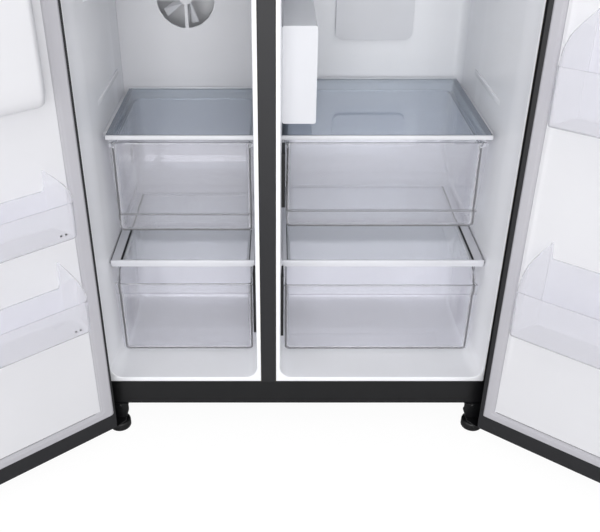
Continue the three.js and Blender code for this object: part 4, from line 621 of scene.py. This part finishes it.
for bayName, shape in midShelves.items():
    m = midShelf
    (x0, x1), (low, high) = shape["edges"], shape["bars"]
    top, bottom, back = m["top"], m["top"] - m["rim"], shape["back"]
    paneX = (x0 + low + 0.3, x1 - high - 0.3)
    paneY = (m["front"] + m["frontBar"] + 0.3, back - m["backBar"] - 0.3)
    paneTop = top - m["lid"]
    # a frame as rings: round the outside, over the top, down into the pane's rebate, and back under it; each is on
    # the outside or not, drawn in by an inset, at a height
    under = paneTop - m["pane"] - 0.3
    steps = [(True, 0, bottom + 1), (True, 0, top - 1.2), (True, 0.35, top - 0.35), (True, 1.2, top),
             (False, -1, top), (False, -0.3, top - 0.3), (False, -0.3, under), (False, m["rest"], under),
             (False, m["rest"], bottom), (True, 1, bottom), (True, 0.3, bottom + 0.3)]
    rings = []
    for outside, inset, z in steps:
        (a0, a1), (b0, b1) = ((x0, x1), (m["front"], back)) if outside else (paneX, paneY)
        rings.append(roundedRings(a0 + inset, a1 - inset, b0 + inset, b1 - inset, 5 - inset if outside else 3,
                                  z, 4, 1))
    frameSkin = loop(np.concatenate(rings))
    # a black seal lies on the pane's outer side and a thinner one on its inner side; their black is also painted shade,
    # the dark shadow line along the pane's edges
    sealTop = paneTop + 0.9
    wide, thin = m["seal"]
    outerSealShade = (paneX[0], paneX[0] + wide) if bayName == "freezer" else (paneX[1] - wide, paneX[1])
    innerSealShade = (paneX[1] - thin, paneX[1]) if bayName == "freezer" else (paneX[0], paneX[0] + thin)
    sealShadeStrips = [(*softBar(seal, paneY, (paneTop + 0.05, sealTop), 0.35, "y", 1), 1) for seal in (outerSealShade, innerSealShade)]
    # the front edge stands a little proud of the pane
    trim = softBar((x0, x1), (m["front"] - 0.4, m["front"] + m["frontBar"] + 0.6), (top - 7.6, top + 4), 1.6, "x", 3)
    makePiece(bayName + "MiddleShelfFrame", [frameSkin, *sealShadeStrips, trim], "grey_plastic", "cabinet",
              [bayName + "_middle_shelf_frame"], extra=("black_plastic",))
    pane = softBar(paneX, paneY, (paneTop - m["pane"], paneTop), 0.6, "z", 2)
    makePiece(bayName + "MiddleShelfPane", [pane], "clear_glass", "cabinet", [bayName + "_middle_shelf_glass"])

# the shelves over the upper drawers: a tinted pane as wide as its frame between a bright front edge and a thin rear
# one; under it run two grey side bars with a seal, their grey also painted shade for the darker band along the pane's
# sides, and hooked rails that carry the drawer
topShelves = {
    "freezer": {"edges": (-410.5, -95.2), "back": 451, "rails": ((-406.5, -395), (-107.5, -98.5))},
    "fridge": {"edges": (-36, 412), "back": 529, "rails": ((-33.8, -22.5), (388, 402.5))},
}
topShelf = {"front": 130, "bottom": 683.6, "top": 693.4, "trim": 5, "bar": 9, "barBottom": 681.4,
            "pane": (689, 693), "rearTop": 695.4, "hook": 2.4, "hookBottom": 660.6, "hookStart": 150, "thin": 2.6}

for bayName, shape in topShelves.items():
    t = topShelf
    (x0, x1), back = shape["edges"], shape["back"]
    inner = (t["front"] + t["trim"] - 1, back)
    parts = [softBar((x0, x1), (t["front"], t["front"] + t["trim"]), (t["bottom"], t["top"]), 1.6, "x", 3),
             softBar((x0, x1), (back - 1.4, back + 1.4), (t["barBottom"], t["rearTop"]), 1, "x", 2),
             softBar((x0 + 0.4, x1 - 0.4), (back - 10, back - 1), (t["barBottom"], t["pane"][0] - 0.4), 1.2, "x", 2)]
    # painted shade: the side bars and the layer under the pane take the grey gasket finish, for the darker band along
    # the pane's sides
    for edge, inward in ((x0 + 0.5, 1), (x1 - 0.5, -1)):
        low, high = sorted([edge, edge + inward * t["bar"]])
        under = t["pane"][0]
        parts.append((*softBar((low, high), inner, (t["barBottom"], under - 1.2), 1.2, "y", 2), 1))
        parts.append((*softBar((low + 0.4, high - 0.4), inner, (under - 1.6, under - 0.2), 0.5, "y", 1), 1))
    # each rail is an upright web with a lip turned in under the drawer's rim
    for (r0, r1), outward in zip(shape["rails"], (-1, 1)):
        web = (r0, r0 + t["thin"]) if outward < 0 else (r1 - t["thin"], r1)
        ys = (t["hookStart"], back - 14)
        parts.append(softBar(web, ys, (t["hookBottom"], t["barBottom"] + 2), 0.9, "y", 2))
        parts.append(softBar((r0, r1), ys, (t["hookBottom"], t["hookBottom"] + t["hook"]), 0.9, "y", 2))
    makePiece(bayName + "TopShelfFrame", parts, "white_plastic", "cabinet", [bayName + "_top_shelf_frame"],
              extra=("gasket",))
    pane = softBar((x0 + 0.5, x1 - 0.5), (t["front"] + t["trim"] + 0.2, back - 1.7), t["pane"], 0.6, "z", 2)
    makePiece(bayName + "TopShelfPane", [pane], "tinted_glass", "cabinet", [bayName + "_top_shelf_glass"])
print("middle and top shelves made")


# the doors, drawn closed: outer edges, floors of the bins and heights of their rims
doorSides = {
    "freezer": {"side": -1, "body": "freezer_door", "hinge": -454, "free": -68, "front": 77, "earFront": 92,
                "earBack": 127, "bins": {"low": 381, "middle": 596}, "seal": (12.6, 45.4),
                "skin": (6.5, -26, 18), "draft": 20, "ears": {"low": 10, "middle": -9}, "plugs": (26, 36),
                "rearRim": 77, "binCorner": 12, "sealCorner": 14},
    "fridge": {"side": 1, "body": "fridge_door", "hinge": 454, "free": -63, "front": 109, "earFront": 136,
               "earBack": 193, "bins": {"low": 371, "middle": 815, "high": 1215}, "seal": (19.8, 45.8),
               "skin": (9.6, -36, 28), "draft": 30, "ears": {}, "plugs": (),
               "rearRim": 158, "binCorner": 8, "sealCorner": 6},
}
doorSheet = {"border": 39.8, "low": 107, "high": 1707, "face": -2.2, "back": -9, "corner": 16, "edge": 4.6,
             "dykeFrom": 42, "dykeWidth": 20, "dykeHeight": 1.2, "dykeLow": 168, "dykeHigh": 1655}
bulgeShape = {"hinge": 70, "free": 66, "low": 838, "high": 1278, "depth": 56.2, "edge": 24, "corner": 26,
              "chute": (-303, -219), "chuteHeights": (1211, 1258), "chuteDepth": 40}
lugShape = {"width": 22, "height": 12, "reach": 12, "inset": 30}
# the bins' distances from the door's hinge side and from its free side
binSpan = (70, 66)


def spanOf(door, hinge, free):
    return sorted([door["hinge"] - door["side"] * hinge, door["free"] + door["side"] * free])


# places from low to high: coarse steps, and fine ones within reach of each edge
def fineSteps(low, high, coarse, edges, fine, reach):
    places = [np.linspace(low, high, max(int((high - low) / coarse), 2))]
    places += [np.arange(e - reach, e + reach + fine / 2, fine) for e in edges]
    merged = np.unique(np.round(np.concatenate(places), 3))
    merged = merged[(merged >= low) & (merged <= high)]
    return merged[np.concatenate([[True], np.diff(merged) > fine * 0.4])]


# how far a point lies inside a rounded rectangle, negative outside: its signed distance turned round
def insideRectangle(x, z, xs, zs, corner):
    cx, cz = (xs[0] + xs[1]) / 2, (zs[0] + zs[1]) / 2
    qx = np.abs(x - cx) - (xs[1] - xs[0]) / 2 + corner
    qz = np.abs(z - cz) - (zs[1] - zs[0]) / 2 + corner
    return corner - np.hypot(np.maximum(qx, 0), np.maximum(qz, 0)) - np.minimum(np.maximum(qx, qz), 0)


def lugSpans(door):
    b0, b1 = spanOf(door, *binSpan)
    b0, b1, wide = b0 + lugShape["inset"], b1 - lugShape["inset"], lugShape["width"]
    return (b0, b0 + wide), (b1 - wide, b1)


# A door's lining, over a grid that is fine where it bends: a sheet with rolled edges, a low ridge along each side,
# lugs under the bins and, on the freezer door, the swelling over the dispenser with the ice chute's mouth. Each form
# rises by ease(distance inside its outline / width of its edge), and the swelling by a quarter circle.
def doorLining(name):
    door, s, b, lug = doorSides[name], doorSheet, bulgeShape, lugShape
    sheetX, swellX = spanOf(door, door["seal"][1] + 0.3, s["border"]), spanOf(door, b["hinge"], b["free"])
    ends = spanOf(door, s["dykeFrom"], s["dykeFrom"])
    ridges = [sorted([line, line + inward * s["dykeWidth"]]) for line, inward in zip(ends, (1, -1))]
    lugsX = lugSpans(door)
    lugsZ = [(level - 0.3 - lug["height"], level - 0.3) for level in door["bins"].values()]
    edgesX = [*sheetX, *np.ravel(ridges), *np.ravel(lugsX)]
    edgesZ = [s["low"], s["high"], s["dykeLow"], s["dykeHigh"], *np.ravel(lugsZ)]
    if name == "freezer":
        edgesX += [*b["chute"], *swellX]
        edgesZ += [b["low"], b["high"], *b["chuteHeights"]]
    x, z = np.meshgrid(fineSteps(*sheetX, 14, edgesX, 1.4, 14), fineSteps(s["low"], s["high"], 24, edgesZ, 1.4, 14))
    edge = insideRectangle(x, z, sheetX, (s["low"], s["high"]), s["corner"])
    y = s["face"] - s["edge"] * (1 - ease(edge / s["edge"]))
    for xs in ridges:
        rise = insideRectangle(x, z, xs, (s["dykeLow"], s["dykeHigh"]), 9)
        y = y + s["dykeHeight"] * ease(rise / 9) * ease((z - s["dykeLow"]) / 120)
    for zs in lugsZ:
        for xs in lugsX:
            y = np.maximum(y, s["face"] + lug["reach"] * ease(insideRectangle(x, z, xs, zs, 4) / 2.5))
    if name == "freezer":
        t = np.clip(insideRectangle(x, z, swellX, (b["low"], b["high"]), b["corner"]) / b["edge"], 0, 1)
        mouth = insideRectangle(x, z, b["chute"], b["chuteHeights"], 5)
        swelling = b["depth"] * np.sqrt(1 - (1 - t) ** 2) - b["chuteDepth"] * ease(mouth / 3)
        y = np.maximum(y, s["face"] + swelling)
    front = np.stack([x, y, z], -1).reshape(-1, 3)
    rows, columns = x.shape
    # the rim goes round the grid's outline, then straight to the flat back
    outline = np.concatenate([np.arange(columns), np.arange(2, rows) * columns - 1,
                              np.arange(rows * columns - 1, (rows - 1) * columns - 1, -1),
                              np.arange(rows - 2, 0, -1) * columns])
    points = np.concatenate([front, front[outline] * [1, 0, 1] + [0, s["back"], 0]])
    below = rows * columns + np.arange(len(outline))
    faces = gridQuads(rows, columns)
    faces += np.stack([outline, np.roll(outline, -1), np.roll(below, -1), below], -1).tolist()
    faces.append(below.tolist())
    makePiece(name + "DoorLiningFormed", [(points, faces)], "door_liner", door["body"], [name + "_door_liner"], 50)


# The seal's section, height over width, carried round a rounded rectangle: a low foot, one broad flat magnet bulge
# and a soft lobe towards the lining. Each ring is the rectangle drawn in by the section's width.
sealSection = {"low": 79.5, "high": 1733, "width": 24, "free": (10.5, 39.5), "base": -5.7, "foldUnder": 6,
               "foldOuter": (45, 1744), "foldInner": (89, 1729), "foldFaces": (-6.5, -5.75),
               "across": (0, 0.03, 0.07, 0.14, 0.68, 0.73, 0.77, 0.81, 0.87, 0.94, 1),
               "above": (0.5, 3.2, 4.5, 5, 5, 4.5, 3.8, 3.9, 4.4, 3.4, 0.8)}


def doorGasket(name):
    door, s = doorSides[name], sealSection
    side = door["side"]
    share = np.linspace(0, 1, 40)
    lift = np.interp(share, s["across"], s["above"])
    lift = np.convolve(np.pad(lift, 2, mode="edge"), np.ones(5) / 5, "valid")
    share = np.concatenate([[0], share, [1]])
    lift = np.concatenate([[0], lift, [0]])
    (near, far), (nearFree, farFree) = door["seal"], s["free"]
    edges = np.sort(np.stack([door["hinge"] - side * (near + (far - near) * share),
                              door["free"] + side * (nearFree + (farFree - nearFree) * share)]), 0)
    across = share * s["width"]
    rings = roundedRings(edges[0], edges[1], s["low"] + across, s["high"] - across,
                         door["sealCorner"] * (0.4 + 0.6 * share), s["base"] + lift, 6, 1)[..., [0, 2, 1]]
    seal = loop(rings)
    # the steel skin's folded edge shows as a flat frame round the seal
    outerX = spanOf(door, door["skin"][0] + 0.4, 1.2)
    innerX = spanOf(door, near + s["foldUnder"], nearFree + s["foldUnder"])
    back, face = s["foldFaces"]
    frameSteps = ((outerX, s["foldOuter"], back), (outerX, s["foldOuter"], face),
                  (innerX, s["foldInner"], face), (innerX, s["foldInner"], back))
    rings = np.concatenate([roundedRings(*xs, *zs, 1.5, y, 3, 1) for xs, zs, y in frameSteps])[..., [0, 2, 1]]
    fold = (*loop(rings), 1)
    makePiece(name + "DoorGasketExtruded", [seal, fold], "gasket", door["body"], [name + "_door_gasket"], 50,
              ("dark_steel",))


binWalls = {"wall": 2.4, "fillet": 7, "back": -1.9, "reach": 80, "lean": 4, "dropFrom": 45, "dropRun": 27,
            "plugRise": 17}


# A bin, as rings up the outside, over the rim and down the inside. Seen from above its end walls curve in towards
# the door, inset = draft * (1 - depth)^1.6. The rim's height is front + (ear - front) * sqrt(1 - t^2), where the ear
# rises towards the door and t goes from 0 to 1 over dropRun beyond dropFrom; along the back it drops to rearRim.
def doorBin(name, level):
    door, w = doorSides[name], binWalls
    floorHeight = door["bins"][level]
    xs = spanOf(door, *binSpan)
    y0, y1 = w["back"], w["reach"]
    turn = np.linspace(0, math.pi / 2, 6)
    up = np.linspace(0.1, 1, 12)
    wall, fillet = w["wall"], w["fillet"]
    # the section as (inset, share of the rim's height, height that doesn't scale)
    outer = [[fillet * (1 - math.sin(a)), 0, fillet * (1 - math.cos(a))] for a in turn]
    outer += [[0, share, fillet * (1 - share)] for share in up]
    lip = [[0.3, 1, 0.5], [wall / 2, 1, 0.8], [wall - 0.3, 1, 0.5]]
    inner = [[wall, share, fillet * (1 - share)] for share in up[::-1]]
    inner += [[wall + (fillet - wall) * (1 - math.cos(a)), 0, wall + (fillet - wall) * (1 - math.sin(a))]
              for a in turn]
    inset, share, fixed = np.array([[fillet + 3, 0, 0]] + outer + lip + inner + [[fillet + 3, 0, wall]]).T
    rings = roundedRings(xs[0] + inset, xs[1] - inset, y0 + inset, y1 - inset,
                         np.clip(door["binCorner"] - inset, 3, None), np.zeros(len(inset)), 8, 34)
    x, y = rings[..., 0], rings[..., 1]
    depth = np.clip((y - y0) / (y1 - y0), 0, 1)
    fromSide = np.minimum(x - xs[0], xs[1] - x)
    earBack = door["earBack"] + door["ears"].get(level, 0)
    ear = door["earFront"] + (earBack - door["earFront"]) * (1 - depth)
    drop = np.sqrt(1 - np.clip((y - w["dropFrom"]) / w["dropRun"], 0, 1) ** 2)
    rim = door["front"] + (ear - door["front"]) * drop
    atBack = 1 - ease((y - y0 - 3) / 3)
    backRim = earBack + (door["rearRim"] - earBack) * ease((fromSide - 9) / 4)
    rim = rim * (1 - atBack) + atBack * backRim
    z = floorHeight + share[:, None] * rim + fixed[:, None] * (1 - share[:, None] * 0.99)
    middle = (xs[0] + xs[1]) / 2
    pull = door["draft"] * (1 - depth) ** 1.6 * np.clip(np.abs(x - middle) / (xs[1] - middle), 0, 1) ** 6
    leanShare = 1 - np.clip((z - floorHeight) / door["front"], 0, 1)
    rings = np.stack([x + np.where(x < middle, pull, -pull), y - w["lean"] * leanShare * depth, z], -1)
    parts = [shell(rings)]
    # two small black plugs low on the front of the freezer's bins
    hinged = xs[1] if door["side"] > 0 else xs[0]
    round12 = np.linspace(0, 2 * math.pi, 12, endpoint=False)
    for offset in door["plugs"]:
        centre = hinged - door["side"] * offset
        rows = [np.stack([centre + radius * np.cos(round12), np.full(12, y1 - w["lean"] * 0.9 + proud),
                          floorHeight + w["plugRise"] + radius * np.sin(round12)], -1)
                for radius, proud in ((0.05, 1.2), (1.4, 1.15), (1.9, 0.7), (1.9, -0.6), (0.05, -0.6))]
        parts.append((*shell(np.array(rows)), 1))
    node = name + "_door_bin_" + level
    makePiece(node + "Moulded", parts, "bin_plastic", door["body"], [node], 40, ("black_plastic",))


for doorName in doorSides:
    doorLining(doorName)
    doorGasket(doorName)
    for binLevel in doorSides[doorName]["bins"]:
        doorBin(doorName, binLevel)
print("door linings, gaskets and bins made")


# the front feet: a black disc with rounded edges, a neck and a stem, turned as one profile
footShape = {"inset": 30, "setback": 8, "profile": (
    (0.01, 0), (21.5, 0), (24, 0.7), (25.2, 2.8), (25.2, 16.5), (24.4, 19.5), (22, 21.4), (18, 22.2),
    (13.5, 22.8), (11, 23.6), (9.6, 25), (9, 27), (4.5, 26.2), (4.5, 61.9), (0.01, 62))}
for footSide, footName in ((-1, "foot_left"), (1, "foot_right")):
    centre = (footSide * (454 - footShape["inset"]), footShape["setback"])
    makePiece(footName + "Turned", [lathed(footShape["profile"], centre, 64)], "black_plastic", "cabinet", [footName])
print("feet turned")

for name in nodes:
    if name not in rebuilt:
        finishedCopy(name)
print("smoothed copies made")


# some copies are shaped a little more: every point, in millimetres and turned back to the closed door, goes through
# a rule that returns where it lands; cuts first adds edges at those depths
def reshape(node, rule, body=None, cuts=()):
    piece = bpy.data.objects[node + "Finished"]
    (pinX, pinY), opened = doorPlaces.get(body, ((0, 0), 0))
    turnBack = Matrix.Rotation(-opened, 4, "Z") @ Matrix.Translation((-pinX, -pinY, 0))
    home = Matrix.Translation((pinX - cabinetOrigin[0], pinY - cabinetOrigin[1], 0)) @ turnBack
    home = Matrix.Scale(1000, 4) @ home
    mesh = bmesh.new()
    mesh.from_mesh(piece.data)
    bmesh.ops.transform(mesh, matrix=home, verts=mesh.verts)
    for level in cuts:
        bmesh.ops.bisect_plane(mesh, geom=mesh.verts[:] + mesh.edges[:] + mesh.faces[:], plane_no=(0, 1, 0),
                               plane_co=(0, level, 0))
    for vertex in mesh.verts:
        vertex.co = rule(*vertex.co)
    bmesh.ops.transform(mesh, matrix=home.inverted(), verts=mesh.verts)
    mesh.to_mesh(piece.data)
    mesh.free()


# the skin of each door is drawn in along the hinge side of its inner face: inset * ease((y - start) / run)
for doorName, door in doorSides.items():
    inset, start, run = door["skin"]

    def drawIn(x, y, z):
        near = abs(x - door["hinge"]) < 3.2
        return (x - door["side"] * inset * float(ease((y - start) / run)) if near else x, y, z)

    reshape(doorName + "_door_panel", drawIn, door["body"], (start, start + run * 0.5, start + run))

# the foam follows the liners' longer mouth, and the filter housing is a little slimmer
reshape("cabinet_foam", lambda x, y, z: (x, linerShape["mouth"] + 4 if 24 < y < 26 else y, z))
reshape("filter_housing", lambda x, y, z: (x - 3.4 if x > 0 else x, y, z))

# the lower hinge brackets narrow towards the middle of the cabinet, and each is held by a low round screw head,
# radius * sin t across and rise * cos t high
bracketShape = {"edge": 425, "share": 0.72, "screw": (417, -3, 68), "radius": 4.5, "rise": 1.6}
for side, name in ((-1, "lower_hinge_left"), (1, "lower_hinge_right")):
    b = bracketShape
    reshape(name, lambda x, y, z: (side * (b["edge"] - (b["edge"] - abs(x)) * b["share"]) if abs(x) < b["edge"] else x,
                                   y, z))
    profile = [(b["radius"] * math.sin(t), b["rise"] * math.cos(t)) for t in (0.01, 0.4, 0.8, 1.2, 1.57)]
    points, faces = lathed(profile + [(b["radius"], -0.4), (0.01, -0.4)], (0, 0), 20)
    screwX, screwY, screwZ = b["screw"]
    points = np.stack([points[:, 0] + side * screwX, screwY - points[:, 2], points[:, 1] + screwZ], -1)
    makePiece(name + "Screw", [(points, faces)], "black_steel", "cabinet")
print("copies shaped and screws made")

# the photo's camera: place in millimetres, tilt in degrees, focal length and middle in pixels
photo = {"place": (-46, -1457, 1309), "pitch": 30.5, "focal": 795, "middle": (277, 266), "size": (600, 532)}
cameraData = bpy.data.cameras.new("camera")
camera = placed("camera", cameraData)
scene.camera = camera
(midX, midY), (wide, tall) = photo["middle"], photo["size"]
cameraData.sensor_width = 36
cameraData.lens = photo["focal"] * cameraData.sensor_width / wide
cameraData.shift_x = (wide / 2 - midX) / wide
cameraData.shift_y = (midY - tall / 2) / wide
cameraData.clip_end = 50
camera.location = toRow(photo["place"])
camera.rotation_euler = (math.radians(90 - photo["pitch"]), 0, 0)

world = bpy.data.worlds.new("studio")
scene.world = world
world.use_nodes = True
worldTree = world.node_tree
worldTree.nodes.clear()
seen = add(worldTree, "ShaderNodeLightPath")
whiteSeen = add(worldTree, "ShaderNodeBackground", {"Color": (1, 1, 1, 1), "Strength": 1})
dome = add(worldTree, "ShaderNodeBackground", {"Color": (1, 1, 1, 1), "Strength": 0.42})
worldMix = add(worldTree, "ShaderNodeMixShader", {
    0: seen.outputs["Is Camera Ray"], 1: dome.outputs[0], 2: whiteSeen.outputs[0]})
add(worldTree, "ShaderNodeOutputWorld", {"Surface": worldMix.outputs[0]})


# a square area lamp at place, pointing at aim, in metres
def softLamp(name, place, aim, size, watts):
    data = bpy.data.lights.new(name, "AREA")
    data.shape = "SQUARE"
    data.size = size
    data.energy = watts
    lamp = placed(name, data)
    back = np.array(place, float) - np.array(aim, float)
    back /= np.linalg.norm(back)
    right = np.cross((0, 0, 1), back)
    right /= np.linalg.norm(right)
    up = np.cross(back, right)
    lamp.matrix_world = Matrix([[right[i], up[i], back[i], place[i]] for i in range(3)] + [[0, 0, 0, 1]])


softLamp("overheadLamp", (-0.3, -2, 3.2), (0, 0.2, 0.5), 2.2, 17)
softLamp("frontLamp", (-0.1, -3.6, 1.3), (0, 0.3, 0.5), 2.4, 69)
softLamp("leftLamp", (-2.6, -2.2, 1.1), (0.2, 0.1, 0.6), 1.8, 28)
softLamp("rightLamp", (2.6, -2.2, 1.3), (-0.2, 0.1, 0.6), 1.8, 23)

floorMesh = bpy.data.meshes.new("floor")
floorMesh.from_pydata([(x, y, -0.0005) for x, y in ((-30, -30), (30, -30), (30, 30), (-30, 30))], [], [(0, 1, 2, 3)])
floor = placed("floor", floorMesh)
floorMaterial, floorTree, floorOut, _ = newMaterial("paleFloor")
floorShader = add(floorTree, "ShaderNodeBsdfPrincipled", {"Base Color": (0.55, 0.55, 0.55, 1), "Roughness": 0.8})
# the camera sees the floor mostly as the white backdrop, with a light share of its shadow kept
floorSeen = add(floorTree, "ShaderNodeLightPath").outputs["Is Camera Ray"]
floorWhite = add(floorTree, "ShaderNodeEmission", {"Color": (1, 1, 1, 1), "Strength": 1.12})
floorBlend = add(floorTree, "ShaderNodeMixShader", {0: 0.84, 1: floorShader.outputs[0], 2: floorWhite.outputs[0]})
floorMix = add(floorTree, "ShaderNodeMixShader", {0: floorSeen, 1: floorShader.outputs[0], 2: floorBlend.outputs[0]})
floorTree.links.new(floorMix.outputs[0], floorOut.inputs["Surface"])
floorMesh.materials.append(floorMaterial)

scene.view_settings.view_transform = "Standard"
